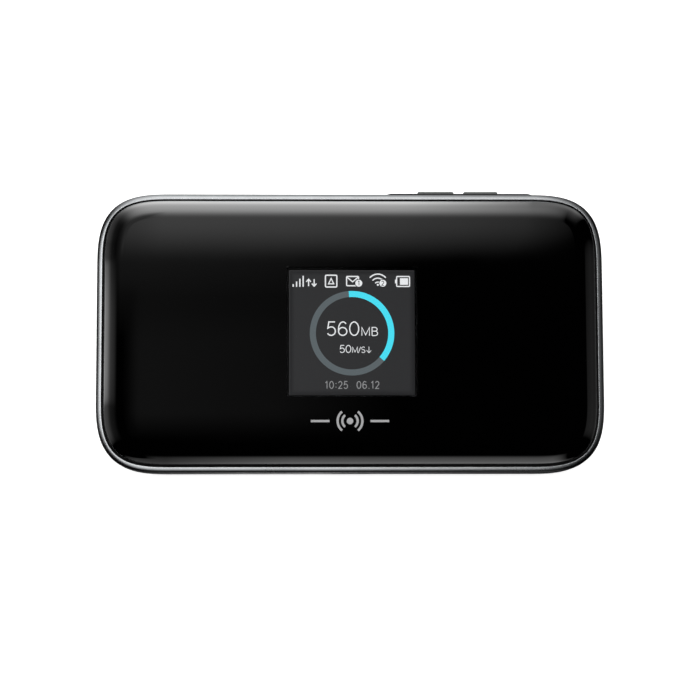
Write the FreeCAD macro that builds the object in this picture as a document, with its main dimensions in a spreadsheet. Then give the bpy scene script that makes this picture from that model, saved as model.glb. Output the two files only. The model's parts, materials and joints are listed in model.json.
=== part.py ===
import FreeCAD, Part
import os
import Sketcher

# Mobile hotspot: a palm-size battery router.  Millimetres.
# The device lies on its back.  Origin at the centre of the back face, +Z out
# of the front face, +X along the long axis, +Y towards the edge that carries
# the two push buttons.

V = FreeCAD.Vector
PI = 3.141592653589793

doc = FreeCAD.newDocument("MobileHotspot")
sheet = doc.addObject("Spreadsheet::Sheet", "Sizes")
ROW = [0]


def size(alias, value):
    """Put one driving dimension in the sheet and give its cell an alias."""
    ROW[0] += 1
    sheet.set("A%d" % ROW[0], alias)
    sheet.set("B%d" % ROW[0], "%.6g" % value)
    sheet.setAlias("B%d" % ROW[0], alias)
    VALUE[alias] = float(value)
    return "Sizes." + alias


VALUE = {}

# ---- driving dimensions -------------------------------------------------
for alias, value in [
        ("half_length", 56.25), ("half_width", 31.15), ("corner_radius", 12.2),
        ("thickness", 16.0),
        # back cover
        ("back_height", 5.4), ("back_inset", 0.4), ("back_round", 4.0),
        ("back_wall", 1.2), ("back_inner_round", 2.4),
        # middle housing
        ("housing_low", 5.6), ("housing_inset", 0.15), ("housing_inner", 2.0),
        ("plate_low", 7.4), ("plate_thick", 1.0),
        ("lip_low", 4.2), ("lip_outer", 1.75), ("lip_inner", 2.75), ("lip_tall", 2.2),
        ("bay_low", 2.4), ("bay_wall", 0.8),
        ("button_pad_face", 32.0),
        # metal rim
        ("rim_low", 9.2), ("rim_top", 12.4), ("rim_width", 1.2),
        ("rim_ledge", 2.9), ("rim_ledge_thick", 0.8),
        ("rim_chamfer", 0.5), ("rim_edge_round", 0.45),
        # front cover
        ("groove_width", 0.3), ("front_low", 10.0), ("front_step", 11.6),
        ("front_round", 3.4), ("front_inner", 2.8), ("front_skin", 1.4),
        ("skirt_outer", 1.25),
        # display window
        ("window_side", 29.0), ("window_x", 0.3), ("window_y", -0.35),
        ("window_gap", 0.04),
        # board
        ("board_inset", 3.0), ("board_low", 9.2), ("board_thick", 0.8),
        # screws
        ("screw_shank_radius", 0.8), ("screw_head_radius", 1.5),
        ("screw_head_tall", 0.9), ("screw_shank_long", 5.6),
        ("boss_radius", 1.9), ("pilot_radius", 0.82), ("screw_clear_radius", 0.95),
        # battery
        ("battery_low", 1.9), ("battery_thick", 5.2), ("battery_long", 59.0),
        ("battery_wide", 46.4), ("battery_gap", 0.5), ("battery_right", 12.0),
        # buttons
        ("button_travel", 0.3), ("button_face", 32.6),
        ("power_button_x", 19.4), ("power_button_long", 8.5),
        ("menu_button_x", 29.5), ("menu_button_long", 8.1),
        ("button_low", 6.45), ("button_tall", 2.35), ("button_gap", 0.15),
        # cards
        ("sim_long", 15.0), ("sim_wide", 12.0), ("sim_thick", 0.76),
        ("sim_travel", 14.0)]:
    size(alias, value)
doc.recompute()


def num(alias):
    return VALUE[alias]


PARTS = []          # the finished sub-parts, in order


def keep(obj, label):
    obj.Label = label
    PARTS.append((label, obj))
    return obj


# ---- helpers: PartDesign ------------------------------------------------
def new_body(label):
    b = doc.addObject("PartDesign::Body", label)
    keep(b, label)
    return b


def origin_plane(body, role="XY_Plane"):
    for f in body.Origin.OriginFeatures:
        if f.Role == role:
            return f
    raise RuntimeError(role)


def new_sketch(body, name, z, x=0.0, y=0.0, z_expr=None):
    sk = body.newObject("Sketcher::SketchObject", name)
    sk.AttachmentSupport = [(origin_plane(body), "")]
    sk.MapMode = "FlatFace"
    sk.AttachmentOffset = FreeCAD.Placement(V(x, y, z), FreeCAD.Rotation())
    if z_expr:
        sk.setExpression("AttachmentOffset.Base.z", z_expr)
    return sk


def rounded_rect(sk, tag, w, d, r, w_expr=None, d_expr=None, r_expr=None):
    """A rounded rectangle centred on the sketch origin, fully constrained."""
    x, y = w / 2.0, d / 2.0
    z = V(0, 0, 1)
    g = [sk.addGeometry(Part.LineSegment(V(-x + r, -y, 0), V(x - r, -y, 0)), False),
         sk.addGeometry(Part.ArcOfCircle(Part.Circle(V(x - r, -y + r, 0), z, r), -PI / 2, 0), False),
         sk.addGeometry(Part.LineSegment(V(x, -y + r, 0), V(x, y - r, 0)), False),
         sk.addGeometry(Part.ArcOfCircle(Part.Circle(V(x - r, y - r, 0), z, r), 0, PI / 2), False),
         sk.addGeometry(Part.LineSegment(V(x - r, y, 0), V(-x + r, y, 0)), False),
         sk.addGeometry(Part.ArcOfCircle(Part.Circle(V(-x + r, y - r, 0), z, r), PI / 2, PI), False),
         sk.addGeometry(Part.LineSegment(V(-x, y - r, 0), V(-x, -y + r, 0)), False),
         sk.addGeometry(Part.ArcOfCircle(Part.Circle(V(-x + r, -y + r, 0), z, r), PI, 1.5 * PI), False)]
    C = Sketcher.Constraint
    for i in range(8):
        sk.addConstraint(C("Tangent", g[i], 2, g[(i + 1) % 8], 1))
    sk.addConstraint(C("Horizontal", g[0]))
    sk.addConstraint(C("Horizontal", g[4]))
    sk.addConstraint(C("Vertical", g[2]))
    sk.addConstraint(C("Vertical", g[6]))
    sk.addConstraint(C("Equal", g[1], g[3]))
    sk.addConstraint(C("Equal", g[1], g[5]))
    sk.addConstraint(C("Symmetric", g[1], 3, g[5], 3, -1, 1))
    for kind, args, value, nm, ex in (
            ("Radius", (g[1],), r, "radius", r_expr),
            ("DistanceX", (g[6], 2, g[2], 1), w, "width", w_expr),
            ("DistanceY", (g[0], 1, g[4], 1), d, "depth", d_expr)):
        k = sk.addConstraint(C(kind, *args, value))
        sk.renameConstraint(k, "%s_%s" % (tag, nm))
        if ex:
            sk.setExpression("Constraints.%s_%s" % (tag, nm), ex)


def outline(sk, tag, inset, inset_expr):
    """The device's plan outline, moved inwards by inset."""
    rounded_rect(sk, tag, 2 * (num("half_length") - inset), 2 * (num("half_width") - inset),
                 num("corner_radius") - inset,
                 "2 * (Sizes.half_length - (%s))" % inset_expr,
                 "2 * (Sizes.half_width - (%s))" % inset_expr,
                 "Sizes.corner_radius - (%s)" % inset_expr)


def circles(sk, tag, points, radius, expr):
    for i, (x, y) in enumerate(points):
        g = sk.addGeometry(Part.Circle(V(x, y, 0), V(0, 0, 1), radius), False)
        k = sk.addConstraint(Sketcher.Constraint("Radius", g, radius))
        sk.renameConstraint(k, "%s_r%d" % (tag, i))
        sk.setExpression("Constraints.%s_r%d" % (tag, i), expr)


def polygon(sk, pts):
    n = len(pts)
    ids = []
    for i in range(n):
        a, b = pts[i], pts[(i + 1) % n]
        ids.append(sk.addGeometry(Part.LineSegment(V(a[0], a[1], 0), V(b[0], b[1], 0)), False))
    for i in range(n):
        sk.addConstraint(Sketcher.Constraint("Coincident", ids[i], 2, ids[(i + 1) % n], 1))


def rect(sk, x0, x1, y0, y1):
    polygon(sk, [(x0, y0), (x1, y0), (x1, y1), (x0, y1)])


def pad(body, name, sk, length, expr=None):
    before = body.Shape.Volume if body.Shape and not body.Shape.isNull() else 0.0
    f = body.newObject("PartDesign::Pad", name)
    f.Profile = sk
    f.Length = length
    if expr:
        f.setExpression("Length", expr)
    doc.recompute()
    if body.Shape.Volume <= before + 1e-6:
        raise RuntimeError("%s adds nothing" % name)
    return f


def pocket(body, name, sk, length, expr=None):
    before = body.Shape.Volume
    f = body.newObject("PartDesign::Pocket", name)
    f.Profile = sk
    f.Length = length
    if expr:
        f.setExpression("Length", expr)
    doc.recompute()
    if body.Shape.Volume >= before - 1e-6:
        raise RuntimeError("%s cuts nothing" % name)
    return f


def edges_where(shape, test):
    return ["Edge%d" % (i + 1) for i, e in enumerate(shape.Edges) if test(e)]


def dress(body, kind, name, base, test, prop, value, expr=None):
    names = edges_where(base.Shape, test)
    if not names:
        raise RuntimeError("%s found no edge" % name)
    f = body.newObject("PartDesign::" + kind, name)
    f.Base = (base, names)
    setattr(f, prop, value)
    if expr:
        f.setExpression(prop, expr)
    doc.recompute()
    return f


def flat_edge(e, z):
    bb = e.BoundBox
    return abs(bb.ZMin - z) < 1e-4 and abs(bb.ZMax - z) < 1e-4


# ---- helpers: Part primitives and booleans --------------------------------
def box(name, x0, y0, z0, lx, ly, lz):
    """A block whose three sides are cells of the sheet."""
    o = doc.addObject("Part::Box", name)
    for prop, tail, value in (("Length", "_x", lx), ("Width", "_y", ly), ("Height", "_z", lz)):
        o.setExpression(prop, size(name + tail, value))
    o.Placement = FreeCAD.Placement(V(x0, y0, z0), FreeCAD.Rotation())
    return o


def cylinder(name, x, y, z, r, h):
    o = doc.addObject("Part::Cylinder", name)
    o.setExpression("Radius", size(name + "_radius", r))
    o.setExpression("Height", size(name + "_tall", h))
    o.Placement = FreeCAD.Placement(V(x, y, z), FreeCAD.Rotation())
    return o


def cut(name, base, *tools):
    out = base
    for i, t in enumerate(tools):
        c = doc.addObject("Part::Cut", "%s_cut%d" % (name, i) if i < len(tools) - 1 else name)
        c.Base = out
        c.Tool = t
        out = c
    return out


def fuse(name, *shapes):
    f = doc.addObject("Part::MultiFuse", name)
    f.Shapes = list(shapes)
    return f


def group(name, *shapes):
    c = doc.addObject("Part::Compound", name)
    c.Links = list(shapes)
    return c


def part_fillet(name, base, test, r):
    sheet.recompute()
    base.recompute()
    f = doc.addObject("Part::Fillet", name)
    f.Base = base
    f.Edges = [(i + 1, r, r) for i, e in enumerate(base.Shape.Edges) if test(e)]
    return f


def upright(e):
    bb = e.BoundBox
    return bb.ZLength > 1e-4 and bb.XLength < 1e-4 and bb.YLength < 1e-4


SCREWS = [(-50.6, 20.0), (-50.6, -20.0), (-16.0, 26.2), (-16.0, -26.2), (51.3, 21.0), (51.3, -21.0)]
BX0 = num("battery_right") - num("battery_long")        # left end of the battery
BX1 = num("battery_right")
BYH = num("battery_wide") / 2.0

# ==== outer shells =======================================================
# back cover: a shallow tray with a generous round along its bottom edge
b = new_body("back_cover")
sk = new_sketch(b, "back_cover_plan", 0.0)
outline(sk, "back", num("back_inset"), "Sizes.back_inset")
f = pad(b, "back_cover_block", sk, num("back_height"), "Sizes.back_height")
f = dress(b, "Fillet", "back_cover_round", f, lambda e: flat_edge(e, 0.0), "Radius",
          num("back_round"), "Sizes.back_round")
sk = new_sketch(b, "back_cover_hollow_plan", num("back_height"), z_expr="Sizes.back_height")
outline(sk, "hollow", num("back_inset") + num("back_wall"), "Sizes.back_inset + Sizes.back_wall")
f = pocket(b, "back_cover_hollow", sk, num("back_height") - num("back_wall"),
           "Sizes.back_height - Sizes.back_wall")
f = dress(b, "Fillet", "back_cover_inner_round", f, lambda e: flat_edge(e, num("back_wall")), "Radius",
          num("back_inner_round"), "Sizes.back_inner_round")
sk = new_sketch(b, "back_cover_nail_plan", num("back_height"))
rect(sk, 36.0, 44.0, -31.5, -29.9)
f = pocket(b, "back_cover_nail_notch", sk, 0.9)

# middle housing: side wall, plate, battery bay walls, bosses, ports
b = new_body("middle_housing")
sk = new_sketch(b, "housing_plan", num("housing_low"), z_expr="Sizes.housing_low")
outline(sk, "outer", num("housing_inset"), "Sizes.housing_inset")
pad(b, "housing_block", sk, num("rim_low") - num("housing_low"), "Sizes.rim_low - Sizes.housing_low")
sk = new_sketch(b, "housing_button_pad_plan", num("housing_low") + 0.25)
polygon(sk, [(5.5, 30.2), (43.9, 30.2), (43.9, 30.8), (40.2, num("button_pad_face")),
             (9.2, num("button_pad_face")), (5.5, 30.8)])
pad(b, "housing_button_pad", sk, 3.25)
sk = new_sketch(b, "housing_hollow_plan", num("rim_low"), z_expr="Sizes.rim_low")
outline(sk, "inner", num("housing_inner"), "Sizes.housing_inner")
pocket(b, "housing_hollow", sk, num("rim_low") - num("housing_low"), "Sizes.rim_low - Sizes.housing_low")
sk = new_sketch(b, "housing_lip_plan", num("lip_low"), z_expr="Sizes.lip_low")
outline(sk, "lipo", num("lip_outer"), "Sizes.lip_outer")
outline(sk, "lipi", num("lip_inner"), "Sizes.lip_inner")
pad(b, "housing_lip", sk, num("lip_tall"), "Sizes.lip_tall")
sk = new_sketch(b, "housing_plate_plan", num("plate_low"), z_expr="Sizes.plate_low")
outline(sk, "plate", num("housing_inner") - 0.1, "Sizes.housing_inner - 0.1")
pad(b, "housing_plate", sk, num("plate_thick"), "Sizes.plate_thick")
# battery bay walls
gap, wall = num("battery_gap"), num("bay_wall")
bw, bd = num("battery_long") + 2 * gap, num("battery_wide") + 2 * gap
sk = new_sketch(b, "housing_bay_plan", num("bay_low"), x=(BX0 + BX1) / 2.0, z_expr="Sizes.bay_low")
rounded_rect(sk, "bayo", bw + 2 * wall, bd + 2 * wall, 2.8,
             "Sizes.battery_long + 2 * Sizes.battery_gap + 2 * Sizes.bay_wall",
             "Sizes.battery_wide + 2 * Sizes.battery_gap + 2 * Sizes.bay_wall")
rounded_rect(sk, "bayi", bw, bd, 2.0, "Sizes.battery_long + 2 * Sizes.battery_gap",
             "Sizes.battery_wide + 2 * Sizes.battery_gap")
pad(b, "housing_bay_walls", sk, num("plate_low") - num("bay_low"), "Sizes.plate_low - Sizes.bay_low")
# stand-offs for the board
sk = new_sketch(b, "housing_boss_plan", num("plate_low"))
circles(sk, "boss", SCREWS, num("boss_radius"), "Sizes.boss_radius")
pad(b, "housing_bosses", sk, num("board_low") - num("plate_low"), "Sizes.board_low - Sizes.plate_low")
sk = new_sketch(b, "housing_screw_plan", num("board_low"))
circles(sk, "clear", SCREWS, num("screw_clear_radius"), "Sizes.screw_clear_radius")
pocket(b, "housing_screw_holes", sk, 2.4)
# openings in the plate: card recesses, battery contacts, push buttons, reset
sk = new_sketch(b, "housing_window_plan", num("plate_low") + num("plate_thick"))
rect(sk, 18.4, 48.6, -21.5, -5.4)                        # SIM socket and finger recess
rect(sk, -4.1, 4.1, -29.05, -25.0)                       # charging port
rect(sk, 19.4, 46.6, -0.4, 16.4)                         # microSD socket and finger recess
rect(sk, 13.3, 18.0, -5.2, 5.2)                          # battery connector
rect(sk, 13.4, 35.6, 24.2, 28.9)                         # push-button switches
pocket(b, "housing_windows", sk, num("plate_thick"), "Sizes.plate_thick")
sk = new_sketch(b, "housing_sim_path_plan", num("plate_low") + num("plate_thick"))
rect(sk, 15.0, 18.6, -19.6, -6.4)                        # room for the far end of the SIM card
pocket(b, "housing_sim_path", sk, num("plate_thick"))
sk = new_sketch(b, "housing_contact_plan", num("plate_low"))
rect(sk, 12.2, 13.6, -5.2, 5.2)                          # gap in the bay wall for the contacts
pocket(b, "housing_contact_gap", sk, 3.4)
sk = new_sketch(b, "housing_reset_plan", num("plate_low") + num("plate_thick"), x=42.0, y=20.4)
circles(sk, "reset", [(0, 0)], size("reset_hole_radius", 0.6) and 0.6, "Sizes.reset_hole_radius")
pocket(b, "housing_reset_hole", sk, num("plate_thick"), "Sizes.plate_thick")
# USB port and the two button openings in the side wall
sk = new_sketch(b, "housing_usb_plan", 8.95)
rect(sk, -4.2, 4.2, -31.6, -27.9)
pocket(b, "housing_usb_opening", sk, 2.75)
sk = new_sketch(b, "housing_button_hole_plan", num("button_low") + num("button_tall") + num("button_gap"))
for x, w in ((num("power_button_x"), num("power_button_long")), (num("menu_button_x"), num("menu_button_long"))):
    g = num("button_gap")
    rect(sk, x - w / 2 - g, x + w / 2 + g, 28.6, 32.4)
pocket(b, "housing_button_holes", sk, num("button_tall") + 2 * num("button_gap"),
       "Sizes.button_tall + 2 * Sizes.button_gap")

# metal rim: a band that carries an inner ledge
b = new_body("rim_frame")
sk = new_sketch(b, "rim_plan", num("rim_low"), z_expr="Sizes.rim_low")
outline(sk, "outer", 0.0, "0")
f = pad(b, "rim_block", sk, num("rim_top") - num("rim_low"), "Sizes.rim_top - Sizes.rim_low")
sk = new_sketch(b, "rim_seat_plan", num("rim_top"), z_expr="Sizes.rim_top")
outline(sk, "seat", num("rim_width"), "Sizes.rim_width")
f = pocket(b, "rim_seat", sk, num("rim_top") - num("rim_low") - num("rim_ledge_thick"),
           "Sizes.rim_top - Sizes.rim_low - Sizes.rim_ledge_thick")
sk = new_sketch(b, "rim_hollow_plan", num("rim_top"))
outline(sk, "ledge", num("rim_ledge"), "Sizes.rim_ledge")
f = pocket(b, "rim_hollow", sk, num("rim_top") - num("rim_low") + 0.2)
ins = num("half_length") - num("rim_width")


def on_outline(e, inset):
    bb = e.BoundBox
    m = max(abs(bb.XMin), abs(bb.XMax))
    n = max(abs(bb.YMin), abs(bb.YMax))
    return abs(m - (num("half_length") - inset)) < 1e-3 or abs(n - (num("half_width") - inset)) < 1e-3


f = dress(b, "Chamfer", "rim_inner_chamfer", f,
          lambda e: flat_edge(e, num("rim_top")) and on_outline(e, num("rim_width")),
          "Size", num("rim_chamfer"), "Sizes.rim_chamfer")
f = dress(b, "Fillet", "rim_outer_round", f,
          lambda e: flat_edge(e, num("rim_top")) and on_outline(e, 0.0),
          "Radius", num("rim_edge_round"), "Sizes.rim_edge_round")

# front cover: a glossy cap whose edge rolls down to the rim
b = new_body("front_cover")
sk = new_sketch(b, "front_plan", num("front_step"), z_expr="Sizes.front_step")
outline(sk, "outer", num("rim_width") + num("groove_width"), "Sizes.rim_width + Sizes.groove_width")
f = pad(b, "front_block", sk, num("thickness") - num("front_step"), "Sizes.thickness - Sizes.front_step")
f = dress(b, "Fillet", "front_roll", f, lambda e: flat_edge(e, num("thickness")), "Radius",
          num("front_round"), "Sizes.front_round")
sk = new_sketch(b, "front_skirt_plan", num("front_low"), z_expr="Sizes.front_low")
outline(sk, "skirt", num("skirt_outer"), "Sizes.skirt_outer")
pad(b, "front_skirt", sk, num("front_step") - num("front_low"), "Sizes.front_step - Sizes.front_low")
sk = new_sketch(b, "front_hollow_plan", num("thickness") - num("front_skin"))
outline(sk, "hollow", num("front_inner"), "Sizes.front_inner")
pocket(b, "front_hollow", sk, num("thickness") - num("front_skin") - num("front_low"),
       "Sizes.thickness - Sizes.front_skin - Sizes.front_low")
sk = new_sketch(b, "front_boss_plan", num("front_low"))
circles(sk, "boss", SCREWS, num("boss_radius"), "Sizes.boss_radius")
pad(b, "front_bosses", sk, num("thickness") - num("front_skin") - num("front_low") + 0.2)
sk = new_sketch(b, "front_pilot_plan", num("front_low") + 3.2)
circles(sk, "pilot", SCREWS, num("pilot_radius"), "Sizes.pilot_radius")
pocket(b, "front_pilot_holes", sk, 3.2)
sk = new_sketch(b, "front_window_plan", num("thickness"), x=num("window_x"), y=num("window_y"))
rounded_rect(sk, "window", num("window_side"), num("window_side"), 0.6,
             "Sizes.window_side", "Sizes.window_side")
pocket(b, "front_window", sk, num("front_skin") + 0.1, "Sizes.front_skin + 0.1")

# clear window, flush in the front cover
b = new_body("display_window")
sk = new_sketch(b, "window_plan", num("thickness") - num("front_skin"), x=num("window_x"), y=num("window_y"))
rounded_rect(sk, "lens", num("window_side") - 2 * num("window_gap"), num("window_side") - 2 * num("window_gap"),
             0.56, "Sizes.window_side - 2 * Sizes.window_gap", "Sizes.window_side - 2 * Sizes.window_gap")
pad(b, "window_block", sk, num("front_skin"), "Sizes.front_skin")

# ==== display stack ======================================================
WX, WY = num("window_x"), num("window_y")
o = box("display_gasket_block", WX - 16.4, WY - 16.4, 14.3, 32.8, 32.8, 0.3)
t = box("display_gasket_hole", WX - 14.1, WY - 14.1, 14.2, 28.2, 28.2, 0.5)
keep(cut("display_gasket", o, t), "display_gasket")
keep(box("display_panel", -15.3, -18.6, 13.1, 31.6, 34.9, 1.2), "display_panel")
o = box("display_backlight_block", -15.6, -18.9, 11.9, 32.2, 35.5, 1.2)
t = box("display_backlight_notch", -6.0, -19.0, 12.6, 12.6, 0.6, 0.7)
keep(cut("display_backlight", o, t), "display_backlight")
o = [box("display_flex_top", -5.6, -20.0, 13.2, 11.8, 1.4, 0.15),
     box("display_flex_drop", -5.6, -20.0, 11.0, 11.8, 0.15, 2.35),
     box("display_flex_foot", -5.6, -23.6, 11.0, 11.8, 3.75, 0.15)]
keep(fuse("display_flex", *o), "display_flex")
o = part_fillet("display_connector", box("display_connector_block", -6.2, -24.0, 10.0, 13.0, 3.2, 0.95),
                upright, 0.3)
keep(o, "display_connector")

# ==== board ==============================================================
b = new_body("main_board")
sk = new_sketch(b, "board_plan", num("board_low"), z_expr="Sizes.board_low")
outline(sk, "board", num("board_inset"), "Sizes.board_inset")
pad(b, "board_block", sk, num("board_thick"), "Sizes.board_thick")
sk = new_sketch(b, "board_hole_plan", num("board_low") + num("board_thick"))
circles(sk, "hole", SCREWS, size("board_hole_radius", 1.1) and 1.1, "Sizes.board_hole_radius")
pocket(b, "board_holes", sk, num("board_thick") + 0.2)


def can(name, x0, y0, lx, ly, lz=1.5):
    """A folded shield can, open towards the board."""
    o = part_fillet(name + "_shell", box(name + "_block", x0, y0, 10.0, lx, ly, lz), upright, 0.8)
    t = box(name + "_hollow", x0 + 0.2, y0 + 0.2, 9.9, lx - 0.4, ly - 0.4, lz - 0.1)
    keep(cut(name, o, t), name)


can("shield_baseband", -45.0, -11.0, 27.0, 27.0)
can("shield_rf", 20.5, -16.0, 26.0, 18.0)
can("shield_wifi", 20.5, 5.0, 22.0, 15.0)
keep(part_fillet("baseband_processor", box("baseband_block", -42.0, -1.0, 10.0, 14.0, 14.0, 1.0), upright, 0.2),
     "baseband_processor")
keep(part_fillet("memory_chip", box("memory_block", -31.5, -9.4, 10.0, 11.5, 7.4, 0.9), upright, 0.2),
     "memory_chip")
keep(box("thermal_pad", -41.0, 0.0, 11.0, 12.0, 12.0, 0.3), "thermal_pad")
keep(part_fillet("rf_amplifier", box("rf_block", 24.0, -12.0, 10.0, 6.0, 5.0, 0.9), upright, 0.2), "rf_amplifier")
keep(part_fillet("wifi_chip", box("wifi_block", 26.0, 8.5, 10.0, 7.0, 7.0, 0.85), upright, 0.2), "wifi_chip")
keep(part_fillet("power_manager_chip", box("pmic_block", -10.0, 4.0, 10.0, 6.0, 6.0, 0.9), upright, 0.2),
     "power_manager_chip")
# small passive parts around the power manager, a group of separate blocks
small = []
for i in range(12):
    px = -13.0 + (i % 6) * 2.9
    py = -9.0 + (i // 6) * 2.2
    s = Part.makeBox(1.6, 0.8, 0.8, V(px, py, 10.0))
    small.append(s)
for i in range(4):
    small.append(Part.makeBox(2.5, 2.0, 1.0, V(2.0 + 3.4 * (i % 2), 4.0 + 3.2 * (i // 2), 10.0)))
o = doc.addObject("Part::Feature", "board_passives")
o.Shape = Part.makeCompound(small)
o.Placement = FreeCAD.Placement()
keep(o, "board_passives")

# ==== ports and sockets on the board's underside =========================
o = fuse("usb_shell_outer", box("usb_nose", -3.8, -30.5, 6.3, 7.6, 1.8, 2.55),
         box("usb_root", -3.8, -28.8, 6.3, 7.6, 3.5, 2.9))
o = cut("usb_connector", o, box("usb_hollow", -3.5, -30.6, 6.6, 7.0, 5.1, 1.95))
keep(o, "usb_connector")
keep(fuse("usb_tongue", box("usb_tongue_blade", -1.9, -30.0, 7.6, 3.8, 4.5, 0.6),
          box("usb_tongue_base", -3.5, -26.1, 6.6, 7.0, 0.6, 1.95)), "usb_tongue")

o = box("sim_socket_block", 31.5, -20.5, 7.8, 17.0, 15.0, 1.4)
o = cut("sim_socket", o, box("sim_slot", 31.4, -19.2, 8.1, 16.0, 12.4, 0.97),
        box("sim_view", 36.0, -16.5, 7.7, 7.0, 7.0, 0.6))
keep(o, "sim_socket")
o = box("sd_socket_block", 31.0, 0.5, 7.8, 14.5, 15.0, 1.4)
o = cut("microsd_socket", o, box("sd_slot", 30.9, 2.4, 8.2, 13.6, 11.2, 0.8))
keep(o, "microsd_socket")

o = box("battery_connector_block", 13.5, -4.9, 4.4, 4.0, 9.8, 4.8)
slots = [box("contact_slot_%s" % k, 13.4, y - 0.55, 4.6, 1.2, 1.1, 2.6)
         for k, y in (("a", -3.0), ("b", 0.0), ("c", 3.0))]
keep(cut("battery_connector", o, *slots), "battery_connector")
blades = []
for y in (-3.0, 0.0, 3.0):
    p = [V(14.55, 0, 5.0), V(14.55, 0, 7.0), V(14.35, 0, 7.0), V(14.35, 0, 6.4), V(12.16, 0, 5.9),
         V(12.16, 0, 5.6), V(14.35, 0, 5.0), V(14.55, 0, 5.0)]
    f = Part.Face(Part.makePolygon([V(q.x, y - 0.4, q.z) for q in p]))
    blades.append(f.extrude(V(0, 0.8, 0)))
o = doc.addObject("Part::Feature", "battery_contacts")
o.Shape = Part.makeCompound(blades)
o.Placement = FreeCAD.Placement()
keep(o, "battery_contacts")


def tact(name, x):
    o = box(name + "_block", x - 2.3, 24.9, 7.2, 4.6, 2.1, 2.0)
    keep(cut(name, o, box(name + "_bore", x - 1.15, 26.15, 7.35, 2.3, 0.9, 1.0)), name)


tact("power_switch", num("power_button_x"))
tact("menu_switch", num("menu_button_x"))
keep(cut("reset_switch", box("reset_block", 40.2, 18.6, 8.5, 3.6, 3.6, 0.7),
         cylinder("reset_bore", 42.0, 20.4, 8.4, 0.55, 0.65)), "reset_switch")
keep(cylinder("reset_plunger", 42.0, 20.4, 8.0, 0.42, 0.75), "reset_plunger")


# ==== push buttons =======================================================
def push_button(name, plunger, x, long_alias):
    w = num(long_alias)
    b = new_body(name)
    sk = new_sketch(b, name + "_cap_plan", num("button_low"), x=x, z_expr="Sizes.button_low")
    bev = 0.45
    y1 = num("button_face")
    polygon(sk, [(-w / 2, 28.7), (w / 2, 28.7), (w / 2, y1 - bev), (w / 2 - bev, y1),
                 (-w / 2 + bev, y1), (-w / 2, y1 - bev)])
    f = pad(b, name + "_cap", sk, num("button_tall"), "Sizes.button_tall")
    top, low = num("button_low") + num("button_tall"), num("button_low")
    f = dress(b, "Fillet", name + "_edge", f,
              lambda e: (flat_edge(e, top) or flat_edge(e, low)) and e.BoundBox.YMin > 29.5
              and e.BoundBox.YMax > 31.8, "Radius", 0.3)
    sk = new_sketch(b, name + "_flange_plan", 6.5, x=x)
    rect(sk, -4.75, 4.75, 28.1, 28.75)
    pad(b, name + "_flange", sk, 2.5)
    keep(box(plunger, x - 1.0, 26.6, 7.45, 2.0, 1.5, 0.8), plunger)


push_button("power_button", "power_plunger", num("power_button_x"), "power_button_long")
push_button("menu_button", "menu_plunger", num("menu_button_x"), "menu_button_long")


# ==== antennas ===========================================================
def antenna(name, x0, x1, y0, y1, tail_x, tail_y):
    """A flat radiator under the front cover with a tail down to its spring."""
    o = [box(name + "_leaf", x0, y0, 13.9, x1 - x0, y1 - y0, 0.2),
         box(name + "_tail", tail_x - 1.0, tail_y, 11.4, 2.0, 0.2, 2.6),
         box(name + "_slot", (x0 + x1) / 2 - 4.0, (y0 + y1) / 2 - 0.3, 13.8, 6.0, 0.6, 0.4)]
    u = fuse(name + "_metal", o[0], o[1])
    keep(cut(name, u, o[2]), name)


antenna("main_antenna", -46.0, -22.0, -26.4, -22.2, -24.5, -23.4)
antenna("diversity_antenna", 22.0, 46.0, -26.4, -22.2, 24.5, -23.4)
antenna("wifi_antenna_a", 28.0, 46.0, 22.2, 26.4, 31.0, 23.2)
antenna("wifi_antenna_b", -46.0, -28.0, 22.2, 26.4, -31.0, 23.2)
springs = []
for x, y in ((-24.5, -23.4), (24.5, -23.4), (31.0, 23.2), (-31.0, 23.2)):
    p = [V(0, -0.9, 10.0), V(0, 1.5, 10.0), V(0, 1.5, 10.2), V(0, -0.2, 10.2), V(0, 0.5, 11.2),
         V(0, 0.5, 11.4), V(0, -0.3, 11.4), V(0, -0.9, 10.4), V(0, -0.9, 10.0)]
    f = Part.Face(Part.makePolygon([V(x - 0.7, y + q.y, q.z) for q in p]))
    springs.append(f.extrude(V(1.4, 0, 0)))
o = doc.addObject("Part::Feature", "antenna_springs")
o.Shape = Part.makeCompound(springs)
o.Placement = FreeCAD.Placement()
keep(o, "antenna_springs")

# ==== fasteners ==========================================================
screws = []
hr, ht = num("screw_head_radius"), num("screw_head_tall")
sr, sl = num("screw_shank_radius"), num("screw_shank_long")
for x, y in SCREWS:
    head = Part.makeCylinder(hr, ht, V(x, y, num("plate_low") - ht))
    shank = Part.makeCylinder(sr, sl, V(x, y, num("plate_low")))
    s = head.fuse(shank).removeSplitter()
    low = num("plate_low") - ht
    cross = Part.makeBox(1.6, 0.35, 0.5, V(x - 0.8, y - 0.175, low - 0.05)).fuse(
        Part.makeBox(0.35, 1.6, 0.5, V(x - 0.175, y - 0.8, low - 0.05)))
    screws.append(s.cut(cross).Solids[0])
o = doc.addObject("Part::Feature", "housing_screws")
o.Shape = Part.makeCompound(screws)
o.Placement = FreeCAD.Placement()
keep(o, "housing_screws")

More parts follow.
